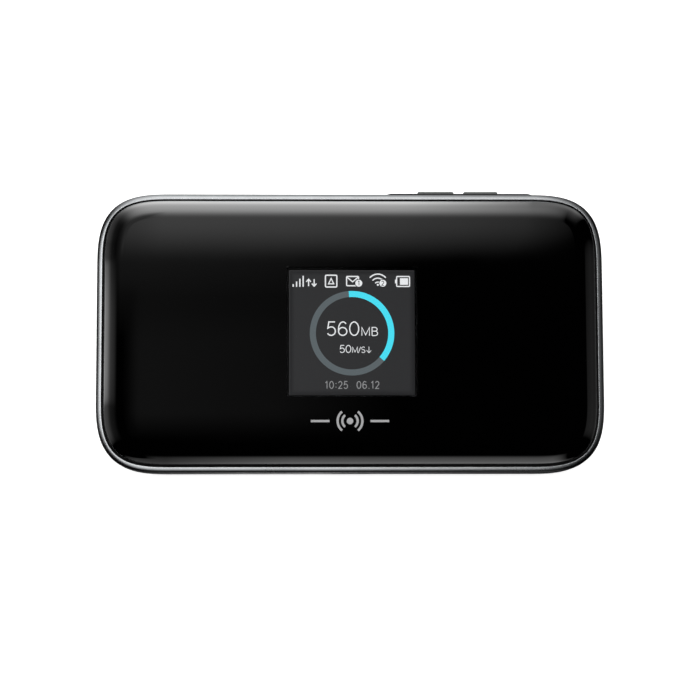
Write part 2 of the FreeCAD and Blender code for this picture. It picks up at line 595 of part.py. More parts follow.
# ==== battery and cards ==================================================
b = new_body("battery_pack")
sk = new_sketch(b, "battery_plan", num("battery_low"), x=(BX0 + BX1) / 2.0, z_expr="Sizes.battery_low")
rounded_rect(sk, "battery", num("battery_long"), num("battery_wide"), 1.8,
             "Sizes.battery_long", "Sizes.battery_wide")
f = pad(b, "battery_block", sk, num("battery_thick"), "Sizes.battery_thick")
z0, z1 = num("battery_low"), num("battery_low") + num("battery_thick")
f = dress(b, "Fillet", "battery_edge", f, lambda e: flat_edge(e, z0) or flat_edge(e, z1), "Radius", 0.6)
o = [box("terminal_%s" % k, BX1, y - 1.0, 4.6, 0.08, 2.0, 1.8) for k, y in (("a", -3.0), ("b", 0.0), ("c", 3.0))]
keep(group("battery_terminals", *o), "battery_terminals")
keep(part_fillet("battery_label", box("battery_label_film", BX0 + 5.0, -18.5, num("battery_low") - 0.1,
                                      num("battery_long") - 10.0, 37.0, 0.1), upright, 1.5), "battery_label")
keep(part_fillet("bay_label", box("bay_label_film", -38.0, -15.0, num("plate_low") - 0.1, 40.0, 30.0, 0.1),
                 upright, 1.5), "bay_label")
keep(part_fillet("cover_foam", box("cover_foam_block", -40.0, -16.0, num("back_wall"), 44.0, 32.0, 0.5),
                 upright, 2.0), "cover_foam")

# SIM card with its clipped corner
b = new_body("sim_card")
sk = new_sketch(b, "sim_plan", 8.15, x=30.5, y=-19.0)
w, d, c = num("sim_long"), num("sim_wide"), 2.3
polygon(sk, [(0, 0), (w - c, 0), (w, c), (w, d), (0, d)])
pad(b, "sim_block", sk, num("sim_thick"), "Sizes.sim_thick")
o = []
for i in range(3):
    for j in range(2):
        o.append(box("sim_pad_%s" % "abcdef"[i * 2 + j], 34.2 + i * 2.6, -17.6 + j * 6.3,
                     8.15 + num("sim_thick"), 2.3, 3.0, 0.05))
keep(group("sim_contacts", *o), "sim_contacts")

# ==== check and write ====================================================
doc.recompute()
bad = []
for ob in doc.Objects:
    if "Invalid" in ob.State or "Error" in ob.State:
        bad.append("%s %s" % (ob.Name, ob.State))
labels = [lab for lab, ob in PARTS]
if len(set(labels)) != len(labels):
    bad.append("two sub-parts share a label")
for lab, ob in PARTS:
    if ob.Label != lab:
        bad.append("label %s became %s" % (lab, ob.Label))
    if ob.Shape.isNull() or not ob.Shape.isValid() or not ob.Shape.Solids:
        bad.append("%s has a bad shape" % lab)
if bad:
    raise SystemExit("\n".join(bad))

os.makedirs("parts", exist_ok=True)
for lab, ob in PARTS:
    ob.Shape.exportStep("parts/%s.step" % lab)
print("%d sub-parts, %d solids" % (len(PARTS), sum(len(ob.Shape.Solids) for lab, ob in PARTS)))
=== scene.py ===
import bpy, bmesh, json, math
import numpy as np
from mathutils import Vector, Matrix


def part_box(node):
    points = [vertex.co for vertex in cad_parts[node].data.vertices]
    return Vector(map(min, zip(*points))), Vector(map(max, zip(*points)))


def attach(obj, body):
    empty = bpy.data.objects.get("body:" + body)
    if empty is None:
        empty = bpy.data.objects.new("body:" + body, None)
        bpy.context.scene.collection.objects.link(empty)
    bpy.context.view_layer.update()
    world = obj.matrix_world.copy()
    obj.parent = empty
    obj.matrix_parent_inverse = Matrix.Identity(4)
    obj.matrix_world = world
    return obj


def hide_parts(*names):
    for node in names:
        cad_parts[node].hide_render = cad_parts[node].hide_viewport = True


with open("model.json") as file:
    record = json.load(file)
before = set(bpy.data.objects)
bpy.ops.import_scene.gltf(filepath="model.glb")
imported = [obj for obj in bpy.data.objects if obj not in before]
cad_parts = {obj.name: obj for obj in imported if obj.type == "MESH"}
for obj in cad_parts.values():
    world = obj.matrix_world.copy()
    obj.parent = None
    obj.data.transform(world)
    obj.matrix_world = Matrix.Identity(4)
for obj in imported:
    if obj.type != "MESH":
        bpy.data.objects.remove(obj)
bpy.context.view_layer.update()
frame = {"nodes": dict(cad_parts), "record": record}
MM = 0.001
NODES = frame["nodes"]
SC = bpy.context.scene


def node_mm(name):
    lo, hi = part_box(name)
    return [c / MM for c in lo], [c / MM for c in hi]


# ======================================================================
# camera: nearly straight above, a little towards the near long edge
# ======================================================================
cam_data = bpy.data.cameras.new("camera")
cam = bpy.data.objects.new("camera", cam_data)
SC.collection.objects.link(cam)
SC.camera = cam
TH, PH, ROLL, DIST, FPX = 0.1425, -0.0274, -0.0034, 600.0, 4.4874 * 600.0
U0, V0 = 350.154, 333.836
d = Vector((math.sin(PH) * math.cos(TH), -math.sin(TH), math.cos(TH) * math.cos(PH))).normalized()
xr = Vector((0, 1, 0)).cross(d).normalized()
yr = d.cross(xr)
cx_ = xr * math.cos(ROLL) + yr * math.sin(ROLL)
cy_ = -xr * math.sin(ROLL) + yr * math.cos(ROLL)
loc = (Vector((0, 0, 10.0)) + d * DIST) * MM
cam.matrix_world = Matrix(((cx_.x, cy_.x, d.x, loc.x), (cx_.y, cy_.y, d.y, loc.y),
                           (cx_.z, cy_.z, d.z, loc.z), (0, 0, 0, 1)))
cam_data.sensor_width = 36.0
cam_data.lens = FPX / 700.0 * 36.0
cam_data.shift_x = (350.0 - U0) / 700.0
cam_data.shift_y = (V0 - 350.0) / 700.0
cam_data.clip_start = 0.01
cam_data.clip_end = 20.0

# ======================================================================
# materials
# ======================================================================
MATS = {}


def material(name, color, rough, metallic=0.0, scale=900.0, color_var=0.12, rough_var=0.06,
             bump=0.0, bump_scale=None, bump_dist=0.00002, coat=0.0, coat_rough=0.05, ior=1.5,
             stretch=None, wear=0.0, wear_color=None, detail=3.0, spec=0.5):
    """A node material: colour, roughness and bump all vary over the surface."""
    m = bpy.data.materials.new(name)
    m.use_nodes = True
    nt = m.node_tree
    p = nt.nodes["Principled BSDF"]
    p.inputs["Metallic"].default_value = metallic
    p.inputs["IOR"].default_value = ior
    p.inputs["Specular IOR Level"].default_value = spec
    p.inputs["Coat Weight"].default_value = coat
    p.inputs["Coat Roughness"].default_value = coat_rough
    tc = nt.nodes.new("ShaderNodeTexCoord")
    mp = nt.nodes.new("ShaderNodeMapping")
    if stretch:
        mp.inputs["Scale"].default_value = stretch
    nt.links.new(tc.outputs["Object"], mp.inputs["Vector"])
    n1 = nt.nodes.new("ShaderNodeTexNoise")
    n1.inputs["Scale"].default_value = scale
    n1.inputs["Detail"].default_value = detail
    nt.links.new(mp.outputs["Vector"], n1.inputs["Vector"])
    n2 = nt.nodes.new("ShaderNodeTexNoise")
    n2.inputs["Scale"].default_value = scale / 14.0
    n2.inputs["Detail"].default_value = 4.0
    nt.links.new(tc.outputs["Object"], n2.inputs["Vector"])
    ramp = nt.nodes.new("ShaderNodeValToRGB")
    ramp.color_ramp.elements[0].position = 0.25
    ramp.color_ramp.elements[1].position = 0.75
    c0 = [max(0.0, c * (1 - color_var)) for c in color]
    c1 = [min(1.0, c * (1 + color_var)) for c in color]
    ramp.color_ramp.elements[0].color = c0 + [1]
    ramp.color_ramp.elements[1].color = c1 + [1]
    mixf = nt.nodes.new("ShaderNodeMath")
    mixf.operation = "ADD"
    half = nt.nodes.new("ShaderNodeMath")
    half.operation = "MULTIPLY"
    half.inputs[1].default_value = 0.5
    nt.links.new(n1.outputs["Fac"], mixf.inputs[0])
    nt.links.new(n2.outputs["Fac"], mixf.inputs[1])
    nt.links.new(mixf.outputs[0], half.inputs[0])
    nt.links.new(half.outputs[0], ramp.inputs["Fac"])
    out_color = ramp.outputs["Color"]
    if wear > 0:
        geo = nt.nodes.new("ShaderNodeNewGeometry")
        wr = nt.nodes.new("ShaderNodeMapRange")
        wr.inputs["From Min"].default_value = 0.53
        wr.inputs["From Max"].default_value = 0.62
        wr.inputs["To Max"].default_value = wear
        nt.links.new(geo.outputs["Pointiness"], wr.inputs["Value"])
        mx = nt.nodes.new("ShaderNodeMixRGB")
        mx.inputs["Color2"].default_value = list(wear_color or [min(1, c * 2.2) for c in color]) + [1]
        nt.links.new(wr.outputs["Result"], mx.inputs["Fac"])
        nt.links.new(out_color, mx.inputs["Color1"])
        out_color = mx.outputs["Color"]
    nt.links.new(out_color, p.inputs["Base Color"])
    rr = nt.nodes.new("ShaderNodeMapRange")
    rr.inputs["From Min"].default_value = 0.3
    rr.inputs["From Max"].default_value = 0.7
    rr.inputs["To Min"].default_value = max(0.0, rough - rough_var)
    rr.inputs["To Max"].default_value = min(1.0, rough + rough_var)
    nt.links.new(n2.outputs["Fac"], rr.inputs["Value"])
    nt.links.new(rr.outputs["Result"], p.inputs["Roughness"])
    if bump > 0:
        n3 = nt.nodes.new("ShaderNodeTexNoise")
        n3.inputs["Scale"].default_value = bump_scale or scale * 2
        n3.inputs["Detail"].default_value = 2.0
        nt.links.new(mp.outputs["Vector"], n3.inputs["Vector"])
        b = nt.nodes.new("ShaderNodeBump")
        b.inputs["Strength"].default_value = bump
        b.inputs["Distance"].default_value = bump_dist
        nt.links.new(n3.outputs["Fac"], b.inputs["Height"])
        nt.links.new(b.outputs["Normal"], p.inputs["Normal"])
    MATS[name] = m
    return m


material("front_gloss", [0.0002, 0.0002, 0.00022], 0.03, scale=400, rough_var=0.02, color_var=0.2, ior=1.8)
material("rim_metal", [0.62, 0.635, 0.65], 0.24, metallic=1.0, scale=2600, rough_var=0.04, color_var=0.05,
         bump=0.1, bump_scale=3600, bump_dist=0.000006)


def paint_rim_highlight_and_shade(m, top):
    """The band's colour is painted by height: painted shade all round its side
    and a painted highlight along its upper edge; the tone follows the height of the surface, unevenly."""
    nt = m.node_tree
    p = nt.nodes["Principled BSDF"]
    tc = nt.nodes.new("ShaderNodeTexCoord")
    sep = nt.nodes.new("ShaderNodeSeparateXYZ")
    nt.links.new(tc.outputs["Object"], sep.inputs[0])
    n = nt.nodes.new("ShaderNodeTexNoise")
    n.inputs["Scale"].default_value = 420.0
    n.inputs["Detail"].default_value = 3.0
    nt.links.new(tc.outputs["Object"], n.inputs["Vector"])
    nm = nt.nodes.new("ShaderNodeMath")
    nm.operation = "MULTIPLY_ADD"
    nm.inputs[1].default_value = 0.00001
    nt.links.new(n.outputs["Fac"], nm.inputs[0])
    nt.links.new(sep.outputs[2], nm.inputs[2])
    mr = nt.nodes.new("ShaderNodeMapRange")
    mr.inputs["From Min"].default_value = (top - 0.28) * MM
    mr.inputs["From Max"].default_value = (top + 0.01) * MM
    nt.links.new(nm.outputs[0], mr.inputs["Value"])
    ramp = nt.nodes.new("ShaderNodeValToRGB")
    cr = ramp.color_ramp
    # tones run from painted shade low on the side to a painted highlight at the upper edge
    rim_light_shade_tones = ((0.0, 0.07), (0.38, 0.10), (0.67, 0.24), (0.89, 0.68), (1.0, 0.92))
    cr.elements[-1].position = 1.0
    for pos, c in rim_light_shade_tones:
        e = cr.elements[0] if pos == 0.0 else (cr.elements[-1] if pos == 1.0 else cr.elements.new(pos))
        e.color = (c, c * 1.01, c * 1.03, 1)
    nt.links.new(mr.outputs["Result"], ramp.inputs["Fac"])
    old = p.inputs["Base Color"].links[0].from_socket
    mx = nt.nodes.new("ShaderNodeMixRGB")
    mx.blend_type = "MULTIPLY"
    mx.inputs["Fac"].default_value = 1.0
    gain = nt.nodes.new("ShaderNodeMixRGB")
    gain.blend_type = "MULTIPLY"
    gain.inputs["Fac"].default_value = 1.0
    gain.inputs["Color2"].default_value = (1.58, 1.57, 1.54, 1)
    nt.links.new(old, gain.inputs["Color1"])
    nt.links.new(gain.outputs["Color"], mx.inputs["Color1"])
    nt.links.new(ramp.outputs["Color"], mx.inputs["Color2"])
    nt.links.new(mx.outputs["Color"], p.inputs["Base Color"])


MATS["rim_metal"].node_tree.nodes["Principled BSDF"].inputs["Specular Tint"].default_value = (0.12, 0.12, 0.12, 1)
paint_rim_highlight_and_shade(MATS["rim_metal"], node_mm("rim_frame")[1][2])
material("housing_black", [0.015, 0.015, 0.0155], 0.47, scale=3000, rough_var=0.02, color_var=0.1,
         bump=0.35, bump_scale=7000, bump_dist=0.00002, wear=0.15, spec=0.4)
material("seam_black", [0.012, 0.012, 0.012], 0.8, scale=2000, spec=0.1, color_var=0.3)
material("back_black", [0.017, 0.017, 0.018], 0.52, scale=2600, rough_var=0.018, color_var=0.08,
         bump=0.6, bump_scale=4200, bump_dist=0.00004, wear=0.12)
material("button_grey", [0.085, 0.092, 0.088], 0.38, scale=3200, rough_var=0.05, color_var=0.08,
         bump=0.25, bump_scale=8000, bump_dist=0.000015, wear=0.3)
material("display_glass", [0.006, 0.006, 0.007], 0.12, scale=500, rough_var=0.03)
material("backlight_white", [0.72, 0.73, 0.74], 0.5, scale=1200, bump=0.1)
material("foam_dark", [0.03, 0.03, 0.032], 0.9, scale=2200, bump=0.9, bump_scale=2600, bump_dist=0.0001, color_var=0.4)
material("flex_amber", [0.42, 0.17, 0.025], 0.34, scale=700, stretch=(6, 1, 1), color_var=0.25, bump=0.2)
material("board_green", [0.008, 0.085, 0.035], 0.33, scale=500, color_var=0.35, rough_var=0.08, bump=0.25, bump_scale=900)
material("shield_tin", [0.6, 0.6, 0.585], 0.32, metallic=1.0, scale=900, stretch=(1, 12, 1), rough_var=0.1,
         color_var=0.1, bump=0.25)
material("chip_black", [0.03, 0.03, 0.033], 0.55, scale=3800, bump=0.35, bump_scale=6000)
material("passive_tan", [0.3, 0.22, 0.14], 0.45, scale=1500, color_var=0.35, bump=0.2)
material("thermal_grey", [0.36, 0.42, 0.48], 0.75, scale=1300, bump=0.5)
material("port_steel", [0.56, 0.56, 0.57], 0.26, metallic=1.0, scale=1600, stretch=(1, 1, 9), rough_var=0.08,
         color_var=0.12, bump=0.2, wear=0.3)
material("tongue_black", [0.02, 0.02, 0.021], 0.42, scale=2600, bump=0.3)
material("contact_gold", [0.86, 0.58, 0.2], 0.24, metallic=1.0, scale=1800, color_var=0.12, bump=0.1)
material("connector_white", [0.62, 0.6, 0.54], 0.5, scale=1500, bump=0.2)
material("battery_grey", [0.05, 0.052, 0.056], 0.4, scale=1400, color_var=0.1, rough_var=0.04, bump=0.35,
         bump_scale=2400, wear=0.15)
material("label_blank", [0.6, 0.61, 0.62], 0.45, scale=1100, color_var=0.05, bump=0.15)
material("antenna_copper", [0.72, 0.45, 0.24], 0.3, metallic=1.0, scale=1300, color_var=0.15, bump=0.15)
material("screw_steel", [0.22, 0.22, 0.23], 0.3, metallic=1.0, scale=2600, color_var=0.2, bump=0.2, wear=0.5)
material("card_white", [0.74, 0.745, 0.73], 0.4, scale=1300, color_var=0.04, bump=0.12)
material("print_grey", [0.34, 0.34, 0.345], 0.5, scale=3000, color_var=0.06, bump=0.15)


def clear_lens():
    m = bpy.data.materials.new("window_clear")
    m.use_nodes = True
    nt = m.node_tree
    p = nt.nodes["Principled BSDF"]
    p.inputs["Base Color"].default_value = (0.93, 0.94, 0.95, 1)
    p.inputs["Transmission Weight"].default_value = 1.0
    p.inputs["IOR"].default_value = 1.5
    tc = nt.nodes.new("ShaderNodeTexCoord")
    n = nt.nodes.new("ShaderNodeTexNoise")
    n.inputs["Scale"].default_value = 60.0
    r = nt.nodes.new("ShaderNodeMapRange")
    r.inputs["To Min"].default_value = 0.0
    r.inputs["To Max"].default_value = 0.012
    nt.links.new(tc.outputs["Object"], n.inputs["Vector"])
    nt.links.new(n.outputs["Fac"], r.inputs["Value"])
    nt.links.new(r.outputs["Result"], p.inputs["Roughness"])
    MATS["window_clear"] = m
    return m


clear_lens()


def lit(name, srgb, strength=1.0):
    """A lit display colour: the colour and strength sit on the shader itself."""
    def lin(c):
        c /= 255.0
        return c / 12.92 if c <= 0.04045 else ((c + 0.055) / 1.055) ** 2.4
    m = bpy.data.materials.new(name)
    m.use_nodes = True
    nt = m.node_tree
    p = nt.nodes["Principled BSDF"]
    p.inputs["Emission Color"].default_value = [lin(c) for c in srgb] + [1]
    p.inputs["Emission Strength"].default_value = strength
    p.inputs["Specular IOR Level"].default_value = 0.0
    tc = nt.nodes.new("ShaderNodeTexCoord")
    n = nt.nodes.new("ShaderNodeTexNoise")
    n.inputs["Scale"].default_value = 4000.0
    ramp = nt.nodes.new("ShaderNodeValToRGB")
    ramp.color_ramp.elements[0].color = (0.002, 0.002, 0.002, 1)
    ramp.color_ramp.elements[1].color = (0.006, 0.006, 0.006, 1)
    nt.links.new(tc.outputs["Object"], n.inputs["Vector"])
    nt.links.new(n.outputs["Fac"], ramp.inputs["Fac"])
    nt.links.new(ramp.outputs["Color"], p.inputs["Base Color"])
    MATS[name] = m
    return m


GAIN = 1.08
lit("lit_back", (51, 51, 52), GAIN)
lit("lit_shaded_edge", (40, 40, 41), GAIN)
lit("lit_line", (60, 60, 61), GAIN)
lit("lit_track", (95, 103, 106), GAIN)
lit("lit_cyan", (78, 228, 248), GAIN)
lit("lit_white", (240, 241, 242), GAIN)
lit("lit_grey", (152, 152, 153), GAIN)
lit("lit_dark", (52, 52, 53), GAIN)

# CAD nodes that keep their own shape get the material of their slot
slot_of = {s["node"]: s["material_slot"] for s in frame["record"]["subparts"]}
for name, ob in NODES.items():
    m = MATS.get(slot_of.get(name, ""), MATS["chip_black"])
    if not ob.material_slots:
        ob.data.materials.append(m)
    for s in ob.material_slots:
        s.material = m


# ======================================================================
# mesh helpers
# ======================================================================
def new_object(name, verts_mm, faces, mat, body, smooth=True, angle=None, replaces=()):
    me = bpy.data.meshes.new(name)
    me.from_pydata([tuple(c * MM for c in v) for v in verts_mm], [], faces)
    me.validate()
    me.update()
    ob = bpy.data.objects.new(name, me)
    SC.collection.objects.link(ob)
    me.materials.append(MATS[mat])
    finish_mesh(ob, smooth, angle)
    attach(ob, body)
    if replaces:
        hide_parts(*replaces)
    return ob


def finish_mesh(ob, smooth=True, angle=None):
    me = ob.data
    for p in me.polygons:
        p.use_smooth = smooth
    if angle is not None and smooth:
        bm = bmesh.new()
        bm.from_mesh(me)
        for e in bm.edges:
            e.smooth = not (len(e.link_faces) == 2 and e.calc_face_angle(0.0) > angle)
        bm.to_mesh(me)
        bm.free()


HALF_L, HALF_W = node_mm("rim_frame")[1][0], node_mm("rim_frame")[1][1]
CORNER, POWER = 17.16, 3.14


def base_curve(fine=1.0):
    """The plan outline: straight sides joined by corners whose curvature grows
    and fades smoothly.  Counter-clockwise points and outward normals, in mm."""
    t = np.linspace(0, 1, 4001)
    t = (t ** 2.2 / (t ** 2.2 + (1 - t) ** 2.2)) * np.pi / 2
    c, s = np.cos(t), np.sin(t)
    x = HALF_L - CORNER + CORNER * c ** (2 / POWER)
    y = HALF_W - CORNER + CORNER * s ** (2 / POWER)
    nx, ny = c ** (2 * (POWER - 1) / POWER), s ** (2 * (POWER - 1) / POWER)
    ln = np.hypot(nx, ny)
    nx, ny = nx / ln, ny / ln
    arc = np.concatenate([[0], np.cumsum(np.hypot(np.diff(x), np.diff(y)))])
    k = int(72 * fine)
    u = np.linspace(0, arc[-1], k)
    qx, qy = np.interp(u, arc, x), np.interp(u, arc, y)
    qnx, qny = np.interp(u, arc, nx), np.interp(u, arc, ny)
    side = np.linspace(0, HALF_W - CORNER, int(9 * fine))[:-1]
    top = np.linspace(HALF_L - CORNER, 0, int(22 * fine))[1:]
    px = np.concatenate([np.full(len(side), HALF_L), qx, top])
    py = np.concatenate([side, qy, np.full(len(top), HALF_W)])
    vx = np.concatenate([np.ones(len(side)), qnx, np.zeros(len(top))])
    vy = np.concatenate([np.zeros(len(side)), qny, np.ones(len(top))])
    P = np.stack([px, py], 1)
    N = np.stack([vx, vy], 1)
    N /= np.hypot(N[:, 0], N[:, 1])[:, None]

    def mirrored(sx, sy, A):
        B = A * [sx, sy]
        return B if sx * sy > 0 else B[::-1]
    # each quarter leaves out the point that the next one starts with
    quarters, normals = [], []
    for sx, sy in ((1, 1), (-1, 1), (-1, -1), (1, -1)):
        quarters.append(mirrored(sx, sy, P)[:-1])
        normals.append(mirrored(sx, sy, N)[:-1])
    return np.concatenate(quarters), np.concatenate(normals)


BASE, NORM = base_curve()
NB = len(BASE)


def ring(inset, z, base=None, norm=None):
    b = BASE if base is None else base
    n = NORM if norm is None else norm
    p = b - n * inset
    return np.c_[p, np.full(len(p), z)]


def loft(profile, closed=True, cap_first=None, cap_last=None):
    """Quads between plan rings; profile is a list of (inset, z)."""
    rings = [ring(i, z) for i, z in profile]
    V = np.concatenate(rings)
    F = []
    m = len(rings)
    for j in range(m if closed else m - 1):
        a, b = j * NB, ((j + 1) % m) * NB
        for i in range(NB):
            k = (i + 1) % NB
            F.append((a + i, a + k, b + k, b + i))
    V = [tuple(v) for v in V]
    for cap, base, flip in ((cap_first, 0, True), (cap_last, (m - 1) * NB, False)):
        if cap is not None:
            V.append((0.0, 0.0, cap))
            c = len(V) - 1
            for i in range(NB):
                k = (i + 1) % NB
                F.append((base + k, base + i, c) if flip else (base + i, base + k, c))
    return V, F


def arc_pts(cx, cz, rx, rz, a0, a1, n):
    return [(cx + rx * math.cos(math.radians(a0 + (a1 - a0) * i / (n - 1))),
             cz + rz * math.sin(math.radians(a0 + (a1 - a0) * i / (n - 1)))) for i in range(n)]


# ======================================================================
# front cover: glossy cap with a rolled edge, open over the display
# ======================================================================
FRONT_IN = 1.62
TOP_Z = node_mm("front_cover")[1][2]
ROLL_W, ROLL_H, CROWN = 4.6, 3.3, 0.10
wlo, whi = node_mm("display_window")
WCX, WCY = (wlo[0] + whi[0]) / 2, (wlo[1] + whi[1]) / 2
WH = (whi[0] - wlo[0]) / 2 + 0.04


def crown(x, y):
    r = (x / (HALF_L - 6)) ** 2 * 0.5 + (y / (HALF_W - 6)) ** 2 * 0.5
    return -CROWN * r


def roll_drop(s):
    """Drop below the crown at a distance s in from the cap's edge."""
    u = np.clip(1 - s / ROLL_W, 0, 1)
    return -ROLL_H * (1 - np.sqrt(np.clip(1 - u ** 2.15, 0, 1)))


def square_ring(n_pts, half, r, cx, cy):
    """A square with sharp corners, cut where rays from its centre to
    the outline's points cross it, so that its points pair with them."""
    out = []
    src = ring(FRONT_IN + 8.0, 0)[:, :2] - [cx, cy]
    for x, y in src:
        k = half / max(abs(x), abs(y))
        qx, qy = x * k, y * k
        out.append((cx + qx, cy + qy))
    return np.array(out)


def front_shell():
    svals = [0.0, 0.04, 0.1, 0.18, 0.28, 0.4, 0.55, 0.72, 0.92, 1.15, 1.4, 1.7, 2.0, 2.35, 2.7, 3.05, 3.4,
             3.75, 4.1, 4.4, 4.6, 4.9, 5.3, 5.8, 6.4, 7.1]
    rings, tags = [], []
    edge_z = TOP_Z + roll_drop(0.0)
    # underside of the step, up the outer wall of the cap
    rings.append(ring(FRONT_IN + 1.2, 11.65))
    rings.append(ring(FRONT_IN, 11.65))
    rings.append(ring(FRONT_IN, edge_z - 0.35))
    tags += [None] * (3 * NB)
    for s in svals:
        p = ring(FRONT_IN + s, 0)
        p[:, 2] = TOP_Z + roll_drop(s) + crown(p[:, 0], p[:, 1])
        rings.append(p)
        tags += [(s, NORM[i]) for i in range(NB)]
    outer = rings[-1][:, :2]
    sq = square_ring(NB, WH, 0.6, WCX, WCY)
    for k in (0.12, 0.25, 0.38, 0.5, 0.62, 0.74, 0.84, 0.92, 0.97, 1.0):
        q = outer * (1 - k) + sq * k
        z = TOP_Z + crown(q[:, 0], q[:, 1])
        rings.append(np.c_[q, z])
        tags += [(None, None)] * NB
    # the opening's wall, then the underside back to the cap's wall
    q = sq
    rings.append(np.c_[q, TOP_Z - 0.03 + crown(q[:, 0], q[:, 1])])
    rings.append(np.c_[q, np.full(NB, 14.62)])
    inner = ring(FRONT_IN + 5.2, 0)[:, :2]
    rings.append(np.c_[sq * 0.5 + inner * 0.5, np.full(NB, 14.6)])
    rings.append(np.c_[inner, np.full(NB, 14.6)])
    for s, z in ((3.4, 14.4), (2.2, 13.9), (1.5, 13.2), (1.2, 12.4)):
        rings.append(ring(FRONT_IN + s, z))
    V = np.concatenate(rings)
    m = len(rings)
    F = []
    for j in range(m):
        a, b = j * NB, ((j + 1) % m) * NB
        for i in range(NB):
            k = (i + 1) % NB
            F.append((a + i, a + k, b + k, b + i))
    tags += [None] * (len(V) - len(tags))
    return [tuple(v) for v in V], F, tags


def face_normal(x, y, s=None, n=None):
    """Exact direction of the cap's face, from the slope of its shape."""
    gx = -CROWN * x / (HALF_L - 6) ** 2
    gy = -CROWN * y / (HALF_W - 6) ** 2
    if s is not None and s < ROLL_W:
        e = 1e-4
        k = float(roll_drop(s + e) - roll_drop(max(s - e, 0.0))) / (e + min(s, e))
        gx -= k * n[0]
        gy -= k * n[1]
    v = Vector((-gx, -gy, 1.0))
    return v.normalized()


V, F, TAG = front_shell()
front = new_object("front_cap", V, F, "front_gloss", "chassis", angle=math.radians(50), replaces=("front_cover",))


def exact_normals(ob, tags):
    me = ob.data
    loops = []
    for p in me.polygons:
        on_face = all(tags[v] is not None for v in p.vertices)
        for v in p.vertices:
            loops.append(tags[v] if on_face else (0.0, 0.0, 0.0))
    me.normals_split_custom_set(loops)


def tag_normals(TAG, V):
    out = []
    for t, v in zip(TAG, V):
        if t is None:
            out.append(None)
        else:
            out.append(tuple(face_normal(v[0], v[1], t[0], t[1]) if t[0] is not None else face_normal(v[0], v[1])))
    return out


exact_normals(front, tag_normals(TAG, V))

# clear lens, its face carrying on the cap's crown
sq = square_ring(NB, WH, 0.6, WCX, WCY)


def lens_mesh():
    n = 28
    xs = np.linspace(WCX - WH, WCX + WH, n + 1)
    ys = np.linspace(WCY - WH, WCY + WH, n + 1)
    V, F = [], []
    for z_of in ("top", "low"):
        for y in ys:
            for x in xs:
                V.append((x, y, TOP_Z + crown(x, y) if z_of == "top" else 14.62))
    w = n + 1
    off = w * w
    for j in range(n):
        for i in range(n):
            a = j * w + i
            F.append((a, a + 1, a + 1 + w, a + w))
            F.append((off + a, off + a + w, off + a + 1 + w, off + a + 1))
    edge = [i for i in range(w)] + [j * w + n for j in range(1, w)] + \
           [n * w + i for i in range(n - 1, -1, -1)] + [j * w for j in range(n - 1, 0, -1)]
    for k in range(len(edge)):
        a, b = edge[k], edge[(k + 1) % len(edge)]
        F.append((a, off + a, off + b, b))
    return V, F


V, F = lens_mesh()
lens = new_object("display_lens", V, F, "window_clear", "chassis", angle=math.radians(40),
                  replaces=("display_window",))

# ======================================================================
# metal rim
# ======================================================================
rlo, rhi = node_mm("rim_frame")
RT, RL = rhi[2], rlo[2]
prof = [(2.6, RL), (0.08, RL), (-0.04, RL + 0.12), (-0.04, RL + 1.1), (-0.04, RT - 0.8)]
for u in (1.0, 0.998, 0.99, 0.97, 0.94, 0.9, 0.85, 0.79, 0.72, 0.64, 0.55, 0.46, 0.37, 0.28, 0.19, 0.1):
    prof.append((1.17 * (1 - u) - 0.04, RT - 0.11 * u - 0.44 * (1 - (1 - u ** 2.6) ** (1 / 2.6))))
prof += [(1.1, RT - 0.01), (1.16, RT - 0.03), (1.19, RT - 0.08), (1.2, RT - 0.2), (1.2, RT - 1.2), (1.2, RL + 0.8),
         (2.6, RL + 0.8)]
V, F = loft(prof)
rim = new_object("rim_band", V, F, "rim_metal", "chassis", angle=math.radians(50), replaces=("rim_frame",))

# inner skirt of the front cap, down behind the rim
V, F = loft([(2.75, 10.05), (1.25, 10.05), (1.25, 11.6), (2.75, 11.6)])
skirt = new_object("front_skirt", V, F, "seam_black", "chassis", angle=math.radians(40),
                   replaces=("front_cover",))

# ======================================================================
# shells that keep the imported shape, eased onto the smooth outline
# ======================================================================
ARC_R = 12.2


def ease_outline(co):
    """Move a point from an outline with plain round corners to the smooth one."""
    x, y = co[0] / MM, co[1] / MM
    sx, sy = (1 if x >= 0 else -1), (1 if y >= 0 else -1)
    X, Y = abs(x), abs(y)
    ccx, ccy = HALF_L - ARC_R, HALF_W - ARC_R
    # distance in from the plain outline
    if X > ccx and Y > ccy:
        inset = ARC_R - math.hypot(X - ccx, Y - ccy)
    else:
        inset = min(HALF_L - X, HALF_W - Y)
    w = 1.0 - min(max((inset - 2.2) / 5.0, 0.0), 1.0)
    w = w * w * (3 - 2 * w)
    if w <= 0:
        return co
    # the smooth outline's inset at the same point, by its nearest sample
    q = BASE_Q
    dx, dy = q[:, 0] - X, q[:, 1] - Y
    i = int(np.argmin(dx * dx + dy * dy))
    n = NORM_Q[i]
    here = float((q[i, 0] - X) * n[0] + (q[i, 1] - Y) * n[1])
    move = (here - inset) * w
    return Vector((co[0] + sx * n[0] * move * MM, co[1] + sy * n[1] * move * MM, co[2]))


BASE_F, NORM_F = base_curve(4.0)
keep_q = (BASE_F[:, 0] >= 0) & (BASE_F[:, 1] >= 0)
BASE_Q, NORM_Q = BASE_F[keep_q], NORM_F[keep_q]


